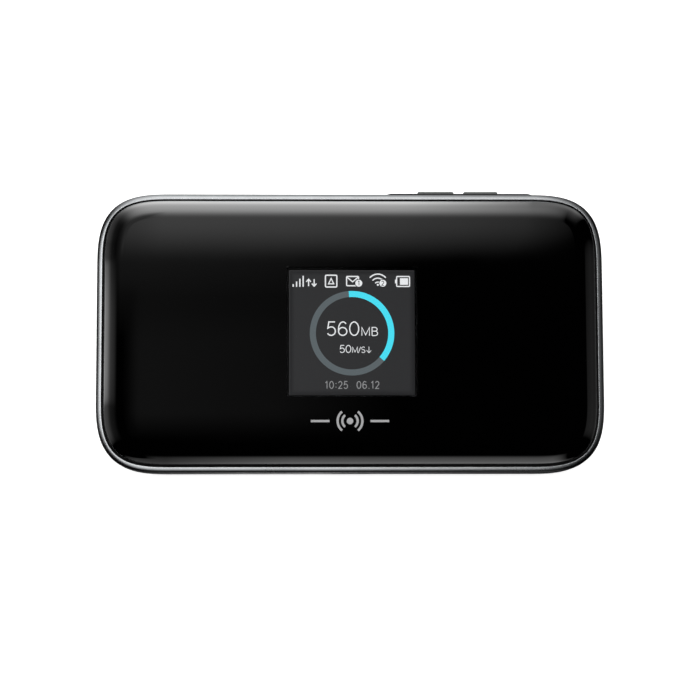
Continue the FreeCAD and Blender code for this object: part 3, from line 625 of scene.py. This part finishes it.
def eased_copy(node, name, mat, body, bevel=0.0):
    src = NODES[node]
    me = src.data.copy()
    me.name = name
    bm = bmesh.new()
    bm.from_mesh(me)
    bm.transform(src.matrix_world)
    bmesh.ops.remove_doubles(bm, verts=bm.verts, dist=1e-6)
    for sgn in (-1, 1):
        for k in range(12):
            x = sgn * (HALF_L - CORNER - 0.5 + k * 0.5) * MM
            bmesh.ops.bisect_plane(bm, geom=bm.verts[:] + bm.edges[:] + bm.faces[:], plane_co=(x, 0, 0),
                                   plane_no=(1, 0, 0), dist=1e-7)
            y = sgn * (HALF_W - CORNER - 0.5 + k * 0.5) * MM
            bmesh.ops.bisect_plane(bm, geom=bm.verts[:] + bm.edges[:] + bm.faces[:], plane_co=(0, y, 0),
                                   plane_no=(0, 1, 0), dist=1e-7)
    for v in bm.verts:
        v.co = ease_outline(v.co)
    bmesh.ops.remove_doubles(bm, verts=bm.verts, dist=1e-6)
    bm.to_mesh(me)
    bm.free()
    ob = bpy.data.objects.new(name, me)
    SC.collection.objects.link(ob)
    me.materials.clear()
    me.materials.append(MATS[mat])
    if me.has_custom_normals:
        with bpy.context.temp_override(object=ob, active_object=ob, selected_objects=[ob]):
            bpy.ops.mesh.customdata_custom_splitnormals_clear()
    finish_mesh(ob, True, math.radians(28))
    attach(ob, body)
    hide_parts(node)
    return ob


housing = eased_copy("middle_housing", "mid_housing_shell", "housing_black", "chassis")
back = eased_copy("back_cover", "back_tray", "back_black", "cover")


# ======================================================================
# push buttons
# ======================================================================
def soft_block(name, lo, hi, r, mat, body, seg=4, replaces=(), taper=None):
    """A block with rolled edges, built from a bevelled mesh."""
    bm = bmesh.new()
    bmesh.ops.create_cube(bm, size=1.0)
    for v in bm.verts:
        v.co = Vector([(lo[i] + hi[i]) / 2 + v.co[i] * (hi[i] - lo[i]) for i in range(3)]) * MM
    if taper:
        for v in bm.verts:
            taper(v.co)
    bmesh.ops.bevel(bm, geom=bm.edges[:], offset=r * MM, segments=seg, profile=0.5, affect="EDGES")
    me = bpy.data.meshes.new(name)
    bm.to_mesh(me)
    bm.free()
    ob = bpy.data.objects.new(name, me)
    SC.collection.objects.link(ob)
    me.materials.append(MATS[mat])
    finish_mesh(ob, True, math.radians(40))
    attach(ob, body)
    if replaces:
        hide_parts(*replaces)
    return ob


for node, body in (("power_button", "power_key"), ("menu_button", "menu_key")):
    lo, hi = node_mm(node)
    mid = (lo[0] + hi[0]) / 2
    long_ = {"power_button": 8.5, "menu_button": 8.1}[node]
    z0, z1 = 6.45, 8.8
    x0, x1 = mid - long_ / 2, mid + long_ / 2

    def taper(co, x0=x0, x1=x1, hy=hi[1]):
        if co.y > (hy - 0.1) * MM:
            co.x += (0.22 if co.x < (x0 + x1) / 2 * MM else -0.22) * MM
            co.z += (0.14 if co.z < 7.6 * MM else -0.14) * MM
    cap = soft_block(node + "_cap", (x0, 28.75, z0), (x1, hi[1], z1), 0.32, "button_grey", body,
                     replaces=(node,), seg=5, taper=taper)
    fl = soft_block(node + "_flange", (lo[0], 28.1, 6.5), (hi[0], 28.75, 9.0), 0.12, "button_grey", body,
                    replaces=(node,), seg=2)


# ======================================================================
# display picture and printed mark, as thin raised shapes
# ======================================================================
def ribbon(pts, width, closed=False):
    """The outline strip along a polyline, with mitred joints, as 2-D quads."""
    P = np.array(pts, float)
    n = len(P)
    L, Rr = [], []
    for i in range(n):
        if closed:
            a, b = P[(i - 1) % n], P[(i + 1) % n]
        else:
            a, b = P[max(i - 1, 0)], P[min(i + 1, n - 1)]
        d1 = P[i] - a
        d2 = b - P[i]
        if np.hypot(*d1) < 1e-9:
            d1 = d2
        if np.hypot(*d2) < 1e-9:
            d2 = d1
        d1 = d1 / np.hypot(*d1)
        d2 = d2 / np.hypot(*d2)
        t = d1 + d2
        if np.hypot(*t) < 1e-6:
            t = d1
        t /= np.hypot(*t)
        nrm = np.array([-t[1], t[0]])
        cosv = max(0.45, float(nrm @ np.array([-d1[1], d1[0]])))
        h = width / 2 / cosv
        L.append(P[i] + nrm * h)
        Rr.append(P[i] - nrm * h)
    return L, Rr


class Sketch:
    """Collects flat shapes and turns them into one thin solid piece."""

    def __init__(self, z, thick=0.02, zfun=None):
        self.V, self.F, self.z, self.t, self.zfun = [], [], z, thick, zfun

    def _lift(self, x, y, top):
        z = (self.zfun(x, y) if self.zfun else self.z) + (self.t if top else 0.0)
        return (x, y, z)

    def stroke(self, pts, width, closed=False):
        L, R = ribbon(pts, width, closed)
        n = len(L)
        b = len(self.V)
        for i in range(n):
            for q, top in ((L[i], 1), (R[i], 1), (L[i], 0), (R[i], 0)):
                self.V.append(self._lift(q[0], q[1], top))
        m = n if closed else n - 1
        for i in range(m):
            a, c = b + 4 * i, b + 4 * ((i + 1) % n)
            self.F += [(a + 1, c + 1, c, a), (a + 2, c + 2, c + 3, a + 3), (a, c, c + 2, a + 2),
                       (a + 3, c + 3, c + 1, a + 1)]
        if not closed:
            a, c = b, b + 4 * (n - 1)
            self.F += [(a + 1, a, a + 2, a + 3), (c, c + 1, c + 3, c + 2)]

    def fill(self, pts):
        n = len(pts)
        area = sum(pts[i][0] * pts[(i + 1) % n][1] - pts[(i + 1) % n][0] * pts[i][1] for i in range(n))
        if area < 0:
            pts = pts[::-1]
        b = len(self.V)
        for q in pts:
            self.V.append(self._lift(q[0], q[1], 1))
        for q in pts:
            self.V.append(self._lift(q[0], q[1], 0))
        self.F.append(tuple(b + i for i in range(n)))
        self.F.append(tuple(b + n + i for i in range(n - 1, -1, -1)))
        for i in range(n):
            k = (i + 1) % n
            self.F.append((b + i, b + n + i, b + n + k, b + k))

    def disc(self, x, y, r, n=32):
        self.fill([(x + r * math.cos(2 * math.pi * i / n), y + r * math.sin(2 * math.pi * i / n)) for i in range(n)])

    def build(self, name, mat, slot, body="chassis"):
        ob = new_object(name, self.V, self.F, mat, body, smooth=False)
        return ob


def ell(cx, cy, rx, ry, a0, a1, n=22):
    return [(cx + rx * math.cos(math.radians(a0 + (a1 - a0) * i / (n - 1))),
             cy + ry * math.sin(math.radians(a0 + (a1 - a0) * i / (n - 1)))) for i in range(n)]


GLYPH = {  # width, strokes in a box one unit tall
    "0": (0.62, [(ell(0.31, 0.5, 0.27, 0.46, 0, 360, 40)[:-1], True)]),
    "1": (0.40, [([(0.05, 0.76), (0.26, 0.96), (0.26, 0.04)], False)]),
    "2": (0.58, [(ell(0.29, 0.70, 0.23, 0.26, 165, -35, 18) + [(0.06, 0.04), (0.54, 0.04)], False)]),
    "5": (0.60, [([(0.52, 0.96), (0.15, 0.96), (0.09, 0.53)] + ell(0.29, 0.33, 0.25, 0.29, 130, -150, 26), False)]),
    "6": (0.62, [(ell(0.31, 0.31, 0.25, 0.27, 0, 360, 32)[:-1], True),
                 (ell(0.33, 0.46, 0.27, 0.50, 48, 195, 22), False)]),
    "M": (0.80, [([(0.07, 0.04), (0.07, 0.96), (0.40, 0.12), (0.73, 0.96), (0.73, 0.04)], False)]),
    "B": (0.62, [([(0.08, 0.04), (0.08, 0.96), (0.32, 0.96)] + ell(0.32, 0.75, 0.2, 0.21, 90, -90, 12)
                  + [(0.08, 0.54)], False),
                 ([(0.08, 0.54), (0.32, 0.54)] + ell(0.32, 0.29, 0.24, 0.25, 90, -90, 14) + [(0.08, 0.04)], False)]),
    "S": (0.58, [(ell(0.29, 0.73, 0.21, 0.23, 25, 262, 18) + ell(0.29, 0.28, 0.23, 0.24, 80, -155, 18), False)]),
    "/": (0.34, [([(0.02, -0.02), (0.32, 1.0)], False)]),
    ":": (0.26, []), ".": (0.22, []), " ": (0.34, []),
}


def text(sk, s, x0, y0, height, weight, track=0.06, squeeze=1.0, width=None):
    """Stroke lettering from x0, its foot at y0; width, if given, is matched."""
    total = sum(GLYPH[c][0] + track for c in s) - track
    k = height * squeeze
    if width:
        k = width / total
    x = x0
    for c in s:
        w, strokes = GLYPH[c]
        for pts, closed in strokes:
            sk.stroke([(x + px * k, y0 + py * height) for px, py in pts], weight, closed)
        if c == ":":
            for q in (0.22, 0.68):
                sk.disc(x + w * k / 2, y0 + q * height, weight * 0.62, 12)
        if c == ".":
            sk.disc(x + w * k / 2, y0 + weight * 0.5, weight * 0.62, 12)
        x += (w + track) * k
    return x


# display picture coordinates: u right, v down, in steps of 1/4.52 mm from its centre
UX, UY = WCX - 0.03, WCY - 0.01
SX, SY = 1 / 4.52, 1 / 4.474


def uv(u, v):
    """u, v: screen steps, counted as in a 126-step wide picture."""
    return (UX + (u - 351.9) * SX, UY - (v - 332.6) * SY)


def uvs(pts):
    return [uv(*p) for p in pts]


PZ = 14.34
# lit back, with a darker border that brightens inwards in steps, a painted shade of the window's edge, and a thin
# lighter line at its edge
s = Sketch(PZ - 0.02, 0.02)
s.fill(uvs([(289.3, 270.6), (289.3, 395.2), (414.7, 395.2), (414.7, 270.6)]))
s.build("picture_border", "lit_shaded_edge", "display_glass")
s = Sketch(PZ, 0.01)
s.stroke(uvs([(289.6, 395.0), (289.6, 270.9), (414.5, 270.9)]), 0.7 * SX)
s.build("picture_edge_line", "lit_line", "display_glass")
# steps brightening inwards from the border: painted shade of the window's edge on the lit back
for k, (a, c) in enumerate(((1.6, 42), (2.6, 45), (3.6, 48), (4.8, 51))):
    lit("lit_shade_step_%d" % k, (c, c, c + 1), GAIN)
    s = Sketch(PZ + 0.004 * k, 0.01)
    s.fill(uvs([(289.3 + a, 270.6 + a), (289.3 + a, 395.2 - a), (414.7 - a, 395.2 - a), (414.7 - a, 270.6 + a)]))
    s.build("picture_back_%d" % k, "lit_shade_step_%d" % k, "display_glass")
ZT = PZ + 0.03

# ring gauge
RCX, RCY = 352.0, 333.4
R_OUT, BAND = 42.25, 6.1


def ring_arc(sk, a0, a1, n):
    """Clock angles in degrees, clockwise from twelve."""
    r = R_OUT - BAND / 2
    pts = [uv(RCX + r * math.sin(math.radians(a0 + (a1 - a0) * i / (n - 1))),
              RCY - r * math.cos(math.radians(a0 + (a1 - a0) * i / (n - 1)))) for i in range(n)]
    sk.stroke(pts, BAND * SX)


s = Sketch(ZT, 0.02)
ring_arc(s, 131.0, 355.5, 120)
s.build("gauge_track", "lit_track", "display_glass")
s = Sketch(ZT, 0.02)
ring_arc(s, -4.5, 131.0, 90)
s.build("gauge_arc", "lit_cyan", "display_glass")

# readouts
s = Sketch(ZT, 0.02)
x, y = uv(326.3, 336.2)
text(s, "560", x, y, 14.6 * SY, 1.15 * SX, track=0.07, width=33.0 * SX)
x, y = uv(361.0, 336.2)
text(s, "MB", x, y, 8.9 * SY, 0.85 * SX, track=0.08, width=17.2 * SX)
s.build("readout_amount", "lit_white", "display_glass")
s = Sketch(ZT, 0.02)
x, y = uv(339.4, 353.1)
text(s, "50", x, y, 7.8 * SY, 0.75 * SX, track=0.07, width=11.7 * SX)
x, y = uv(351.9, 353.1)
text(s, "M/S", x, y, 6.2 * SY, 0.6 * SX, track=0.03, width=13.4 * SX)
s.stroke(uvs([(368.8, 346.9), (368.8, 353.0)]), 0.55 * SX)
s.stroke(uvs([(366.5, 350.6), (368.8, 353.0), (371.1, 350.6)]), 0.55 * SX)
s.build("readout_speed", "lit_white", "display_glass")
# a clock and a day in place of a name
s = Sketch(ZT, 0.02)
x, y = uv(325.0, 388.8)
text(s, "10:25  06.12", x, y, 7.6 * SY, 0.8 * SX, track=0.18, width=54.0 * SX)
s.build("readout_clock", "lit_grey", "display_glass")

# status row
s = Sketch(ZT, 0.02)
for i, (u, h) in enumerate(((293.2, 2.6), (296.6, 5.2), (299.9, 8.0), (303.2, 11.0))):
    s.fill(uvs([(u - 0.65, 287.0), (u + 0.65, 287.0), (u + 0.65, 287.0 - h), (u - 0.65, 287.0 - h)]))
# paired up and down arrows for data
for u, up in ((308.6, 1), (314.2, 0)):
    a, b = (279.4, 286.4) if up else (286.4, 279.4)
    s.stroke(uvs([(u, b), (u, a)]), 1.15 * SX)
    k = 2.6 if up else -2.6
    s.stroke(uvs([(u - 2.3, a + k), (u, a), (u + 2.3, a + k)]), 1.15 * SX)
# boxed triangle
def rounded(u0, v0, u1, v1, r, n=5):
    out = []
    for cx, cy, a in ((u1 - r, v0 + r, -90), (u1 - r, v1 - r, 0), (u0 + r, v1 - r, 90), (u0 + r, v0 + r, 180)):
        for i in range(n):
            t = math.radians(a + 90 * i / (n - 1))
            out.append((cx + r * math.cos(t), cy + r * math.sin(t)))
    return out


s.stroke(uvs(rounded(325.5, 275.4, 336.9, 287.2, 1.1)), 1.25 * SX, closed=True)
s.stroke(uvs([(328.6, 284.0), (331.2, 278.6), (333.8, 284.0)]), 1.05 * SX, closed=True)
# envelope
s.stroke(uvs(rounded(346.7, 276.6, 358.7, 285.9, 0.9)), 1.2 * SX, closed=True)
s.stroke(uvs([(347.4, 277.6), (352.7, 282.0), (358.0, 277.6)]), 1.15 * SX)
# wireless fan
for r, w in ((12.0, 1.25), (7.9, 1.2), (4.0, 1.1)):
    s.stroke(uvs([(378.0 + r * 0.93 * math.sin(math.radians(a)), 286.2 - r * math.cos(math.radians(a)))
                  for a in np.linspace(-46, 46, 16)]), w * SX)
s.disc(*uv(378.0, 285.0), 1.05 * SX, 12)
# battery
s.stroke(uvs(rounded(396.9, 276.6, 409.8, 286.6, 0.8)), 1.15 * SX, closed=True)
s.fill(uvs([(400.2, 278.3), (400.2, 284.9), (408.3, 284.9), (408.3, 278.3)]))
s.fill(uvs([(395.2, 279.7), (395.2, 283.5), (396.6, 283.5), (396.6, 279.7)]))
s.build("status_icons", "lit_white", "display_glass")
s = Sketch(ZT + 0.02, 0.01)
for u, v, r in ((358.9, 283.4, 4.15), (383.0, 283.4, 4.15)):
    s.disc(*uv(u, v), r * SX, 28)
s.build("badge_gaps", "lit_dark", "display_glass")
s = Sketch(ZT + 0.03, 0.01)
for u, v, r in ((358.9, 283.4, 3.5), (383.0, 283.4, 3.5)):
    s.disc(*uv(u, v), r * SX, 28)
s.build("badge_discs", "lit_white", "display_glass")
s = Sketch(ZT + 0.04, 0.01)
x, y = uv(357.9, 285.7)
text(s, "1", x, y, 4.6 * SY, 0.7 * SX)
x, y = uv(381.6, 285.7)
text(s, "2", x, y, 4.6 * SY, 0.65 * SX)
s.build("badge_digits", "lit_dark", "display_glass")

# printed mark under the display: a broadcast sign between two short bars
LX, LY = -0.26, -20.2
s = Sketch(0, 0.012, zfun=lambda x, y: TOP_Z + crown(x, y) + 0.002)
s.disc(LX, LY, 0.72, 28)
for r in (1.68, 2.72):
    for side in (0, 180):
        s.stroke([(LX + r * math.cos(math.radians(side + a)), LY + r * math.sin(math.radians(side + a)))
                  for a in np.linspace(-50, 50, 22)], 0.5)
for sgn in (-1, 1):
    s.stroke([(LX + sgn * 4.5, LY), (LX + sgn * 8.6, LY)], 0.5)
s.build("front_mark", "print_grey", "front_gloss")

# symbols on the buttons' faces
for node, body, kind in (("power_button", "power_key", "power"), ("menu_button", "menu_key", "menu")):
    lo, hi = node_mm(node)
    mx, mz, fy = (lo[0] + hi[0]) / 2, 7.62, hi[1]
    s = Sketch(0, 0.03)
    if kind == "power":
        s.stroke([(0.55 * math.sin(math.radians(a)), 0.55 * math.cos(math.radians(a)))
                  for a in np.linspace(38, 322, 28)], 0.14)
        s.stroke([(0, 0.18), (0, 0.72)], 0.14)
    else:
        for q in (-0.42, 0.0, 0.42):
            s.stroke([(-0.62, q), (0.62, q)], 0.15)
    s.V = [(mx - x, fy - 0.01 + z, mz + y) for x, y, z in s.V]
    s.build(node + "_symbol", "print_grey", "button_grey", body)

# ======================================================================
# stage: pale floor, soft light
# ======================================================================
def plane(name, half, z):
    me = bpy.data.meshes.new(name)
    n = 8
    V = [(-half + 2 * half * i / n, -half + 2 * half * j / n, z) for j in range(n + 1) for i in range(n + 1)]
    F = [(j * (n + 1) + i, j * (n + 1) + i + 1, (j + 1) * (n + 1) + i + 1, (j + 1) * (n + 1) + i)
         for j in range(n) for i in range(n)]
    me.from_pydata(V, [], F)
    ob = bpy.data.objects.new(name, me)
    SC.collection.objects.link(ob)
    return ob


floor = plane("floor", 6.0, -0.0002)
fm = bpy.data.materials.new("floor_pale")
fm.use_nodes = True
nt = fm.node_tree
p = nt.nodes["Principled BSDF"]
p.inputs["Base Color"].default_value = (0.86, 0.86, 0.86, 1)
p.inputs["Roughness"].default_value = 0.9
p.inputs["Specular IOR Level"].default_value = 0.0
p.inputs["Emission Color"].default_value = (1, 1, 1, 1)
p.inputs["Emission Strength"].default_value = 0.75
out = nt.nodes["Material Output"]
geo = nt.nodes.new("ShaderNodeNewGeometry")
tr = nt.nodes.new("ShaderNodeBsdfTransparent")
mx = nt.nodes.new("ShaderNodeMixShader")
nt.links.new(geo.outputs["Backfacing"], mx.inputs["Fac"])
nt.links.new(p.outputs["BSDF"], mx.inputs[1])
nt.links.new(tr.outputs["BSDF"], mx.inputs[2])
nt.links.new(mx.outputs["Shader"], out.inputs["Surface"])
floor.data.materials.append(fm)
floor.visible_glossy = False


def shell(name, r, rings_=24, n=48):
    """A large pale ball round everything, seen only directly."""
    V, F = [(0, 0, r)], []
    for j in range(1, rings_):
        a = math.pi * j / rings_
        for i in range(n):
            b = 2 * math.pi * i / n
            V.append((r * math.sin(a) * math.cos(b), r * math.sin(a) * math.sin(b), r * math.cos(a)))
    V.append((0, 0, -r))
    for i in range(n):
        F.append((0, 1 + (i + 1) % n, 1 + i))
        F.append((len(V) - 1, len(V) - 1 - n + i, len(V) - 1 - n + (i + 1) % n))
    for j in range(rings_ - 2):
        for i in range(n):
            a, b = 1 + j * n + i, 1 + j * n + (i + 1) % n
            F.append((a, b, b + n, a + n))
    me = bpy.data.meshes.new(name)
    me.from_pydata(V, [], F)
    ob = bpy.data.objects.new(name, me)
    SC.collection.objects.link(ob)
    for k in ("diffuse", "glossy", "transmission", "shadow", "volume_scatter"):
        setattr(ob, "visible_" + k, False)
    m = bpy.data.materials.new(name + "_pale")
    m.use_nodes = True
    q = m.node_tree.nodes["Principled BSDF"]
    q.inputs["Base Color"].default_value = (0, 0, 0, 1)
    q.inputs["Specular IOR Level"].default_value = 0.0
    q.inputs["Emission Color"].default_value = (1, 1, 1, 1)
    q.inputs["Emission Strength"].default_value = 1.0
    me.materials.append(m)
    return ob


shell("backdrop", 5.5)


def area(name, loc, target, size, power, glossy=False, size_y=None, only=None):
    l = bpy.data.lights.new(name, "AREA")
    l.shape = "RECTANGLE"
    l.size = size
    l.size_y = size_y or size
    l.energy = power
    o = bpy.data.objects.new(name, l)
    SC.collection.objects.link(o)
    o.location = loc
    o.rotation_euler = (Vector(target) - Vector(loc)).to_track_quat("-Z", "Y").to_euler()
    o.visible_glossy = glossy
    o.visible_transmission = False
    o.visible_camera = False
    if only:
        group = bpy.data.collections.new(name + "_on")
        for q in only:
            group.objects.link(q)
        o.light_linking.receiver_collection = group
    return o


def panel(name, x0, x1, y0, y1, radiance, only):
    """A level panel one metre up, seen only by the pieces named."""
    o = area(name, ((x0 + x1) / 2, (y0 + y1) / 2, 1.0), ((x0 + x1) / 2, (y0 + y1) / 2, 0), x1 - x0,
             radiance * math.pi * (x1 - x0) * (y1 - y0), glossy=True, size_y=y1 - y0, only=only)
    return o


area("overhead", (-0.2, 0.25, 1.6), (0, 0, 0), 2.4, 36.0)
panel("edge_left", -0.9, -0.07, 0.03, 0.28, 1.45, [rim])
panel("edge_near", -0.3, 0.11, -0.6, 0.06, 1.0, [rim])
panel("edge_far", -0.25, 0.2, 0.2, 0.6, 0.25, [rim])
panel("edge_right", 0.3, 1.4, 0.03, 0.4, 0.15, [rim])

# world: dark overhead, brighter panels low on each side
W = bpy.data.worlds.new("studio")
SC.world = W
W.use_nodes = True
nt = W.node_tree
bg = nt.nodes["Background"]
tc = nt.nodes.new("ShaderNodeTexCoord")
sep = nt.nodes.new("ShaderNodeSeparateXYZ")
nt.links.new(tc.outputs["Generated"], sep.inputs[0])


def math_node(op, a, b=None, clamp=False):
    n = nt.nodes.new("ShaderNodeMath")
    n.operation = op
    n.use_clamp = clamp
    for i, v in enumerate((a, b)):
        if v is None:
            continue
        if isinstance(v, (int, float)):
            n.inputs[i].default_value = v
        else:
            nt.links.new(v, n.inputs[i])
    return n.outputs[0]


X, Y, Z = sep.outputs[0], sep.outputs[1], sep.outputs[2]
theta = math_node("DIVIDE", math_node("ARCCOSINE", Z), math.pi)        # 0 at the zenith, 1 at the nadir
rho2 = math_node("MAXIMUM", math_node("ADD", math_node("MULTIPLY", X, X), math_node("MULTIPLY", Y, Y)), 1e-6)


def lobe(c, sign):
    q = math_node("MAXIMUM", math_node("MULTIPLY", c, float(sign)), 0.0)
    return math_node("DIVIDE", math_node("MULTIPLY", q, q), rho2)


def curve(points, scale=10.0):
    """Brightness against zenith angle in degrees."""
    r = nt.nodes.new("ShaderNodeValToRGB")
    cr = r.color_ramp
    cr.interpolation = "LINEAR"
    while len(cr.elements) > 1:
        cr.elements.remove(cr.elements[-1])
    for i, (deg, v) in enumerate(points):
        e = cr.elements[0] if i == 0 else cr.elements.new(deg / 180.0)
        e.position = deg / 180.0
        c = v / scale
        e.color = (c, c, c, 1)
    nt.links.new(theta, r.inputs["Fac"])
    return math_node("MULTIPLY", r.outputs["Color"], scale)


FAR = [(0, 0.49), (11, 0.48), (16, 0.54), (22, 0.84), (30, 1.58), (39, 2.6), (50, 3.4), (60, 3.75), (72, 3.9),
       (89, 4.4), (102, 4.9), (122, 3.6), (150, 1.4), (180, 0.3)]
LEFT = [(0, 0.0), (28, 0.0), (34, 0.07), (42, 0.2), (54, 0.3), (65, 0.43), (78, 1.0), (88, 1.45), (100, 1.6),
        (118, 1.35), (135, 2.5), (180, 2.5)]
RIGHT = [(0, 0.0), (43, 0.0), (48, 0.13), (79, 0.155), (100, 0.115), (119, 0.09), (135, 0.32), (180, 0.32)]
NEAR = [(0, 0.0), (50, 0.0), (54, 0.05), (59, 0.2), (64, 0.46), (74, 0.70), (90, 0.82), (107, 0.88),
        (120, 0.9), (135, 1.8), (180, 1.8)]


def span(v, a, b, lo=0.0, hi=1.0, kind="LINEAR"):
    """v from a to b becomes lo to hi, clamped; fine enough for narrow fades."""
    n = nt.nodes.new("ShaderNodeMapRange")
    n.interpolation_type = kind
    n.clamp = True
    for k, q in (("From Min", a), ("From Max", b), ("To Min", lo), ("To Max", hi)):
        n.inputs[k].default_value = q
    nt.links.new(v, n.inputs["Value"])
    return n.outputs["Result"]
# the far panel narrows with depth, and its low part ends sooner towards the right
deep = span(theta, 25 / 180, 110 / 180)
bend = math_node("MINIMUM", math_node("MULTIPLY", math_node("SUBTRACT", Y, 0.174), 0.75),
                 math_node("ADD", math_node("MULTIPLY", math_node("SUBTRACT", Y, 0.185), 0.22), 0.008))
soft = math_node("ADD", math_node("MULTIPLY", math_node("MAXIMUM", math_node("SUBTRACT", Y, 0.185), 0.0), 0.21), 0.011)
slant = math_node("DIVIDE", math_node("SUBTRACT", math_node("SUBTRACT", X, 0.098), bend), soft)
low = math_node("MULTIPLY", span(X, 0.045, 0.10, 1.0, 0.52), span(slant, -1.0, 1.0, 1.0, 0.0))
high = span(X, 0.047, 0.100, 1.0, 0.2)
fade = math_node("ADD", math_node("MULTIPLY", low, math_node("SUBTRACT", 1.0, deep)), math_node("MULTIPLY", high, deep))
gate = span(Y, 0.1725, 0.1915, kind="SMOOTHSTEP")
aim = math_node("DIVIDE", math_node("MAXIMUM", Y, 0.0), math_node("SQRT", rho2))
tight = math_node("POWER", aim, span(theta, 13 / 180, 36 / 180, 0.0, 10.0))
wide = math_node("MAXIMUM", span(theta, 13 / 180, 30 / 180, 1.0, 0.0), span(aim, 0.64, 0.82))
side = span(X, 0.0, 0.05)
narrow = math_node("ADD", math_node("MULTIPLY", tight, math_node("SUBTRACT", 1.0, side)), math_node("MULTIPLY", wide, side))
gate = math_node("MULTIPLY", gate, math_node("MAXIMUM", span(X, -0.070, -0.046, 0.33, 1.0), span(theta, 18 / 180, 38 / 180)))
far = math_node("MULTIPLY", math_node("MULTIPLY", math_node("MULTIPLY", curve(FAR), narrow), fade), gate)
# the left panel is strongest in its middle
mid = math_node("MULTIPLY", span(Y, 0.09, 0.130, 0.26, 1.0, "SMOOTHSTEP"), span(Y, 0.146, 0.187, 1.0, 0.22, "SMOOTHSTEP"))
aim_l = lobe(X, -1)
aim_l = math_node("MAXIMUM", span(aim_l, 0.78, 0.97), math_node("MULTIPLY", aim_l, span(Y, 0.1, 0.3)))
left = math_node("MULTIPLY", math_node("MULTIPLY", curve(LEFT), aim_l), mid)
# the near panel ends on a slant at both sides
lim_l = math_node("MINIMUM", math_node("ADD", math_node("MULTIPLY", math_node("SUBTRACT", theta, 82 / 180), -2.4), -0.2), -0.13)
lim_r = math_node("MINIMUM", math_node("ADD", math_node("MULTIPLY", math_node("SUBTRACT", theta, 50 / 180), 3.0), 0.11), 0.30)
ends = math_node("MULTIPLY", span(math_node("SUBTRACT", X, lim_l), -0.05, 0.05),
                 span(math_node("SUBTRACT", X, lim_r), -0.1, 0.1, 1.0, 0.0))
near = math_node("MULTIPLY", math_node("MULTIPLY", curve(NEAR), span(lobe(Y, -1), 0.66, 0.92)), span(X, -0.045, 0.005, 0.35, 1.0))
near = math_node("MULTIPLY", near, math_node("MAXIMUM", ends, span(theta, 118 / 180, 135 / 180)))
right = math_node("MULTIPLY", curve(RIGHT), span(lobe(X, 1), 0.9, 0.99))
total = math_node("ADD", math_node("ADD", far, left), math_node("ADD", near, right))
# faint glow overhead on the left, with a soft near end
glow = math_node("MULTIPLY", span(Y, 0.0955, 0.107), span(X, -0.05, 0.0, 0.064, 0.046))
glow = math_node("MULTIPLY", glow, math_node("MULTIPLY", span(X, 0.0, 0.045, 1.0, 0.0), span(Y, 0.158, 0.18, 1.0, 1.9)))
glow = math_node("MULTIPLY", glow, math_node("MAXIMUM", span(X, -0.0605, -0.055), span(Y, 0.14, 0.165)))
glow = math_node("MULTIPLY", glow, math_node("MULTIPLY", span(Y, 0.138, 0.152, 1.0, 0.8), span(Z, 0.75, 0.95)))
total = math_node("ADD", total, glow)
nt.links.new(total, bg.inputs["Strength"])
bg.inputs["Color"].default_value = (1, 1, 1, 1)

SC.view_settings.view_transform = "Standard"
SC.view_settings.look = "None"
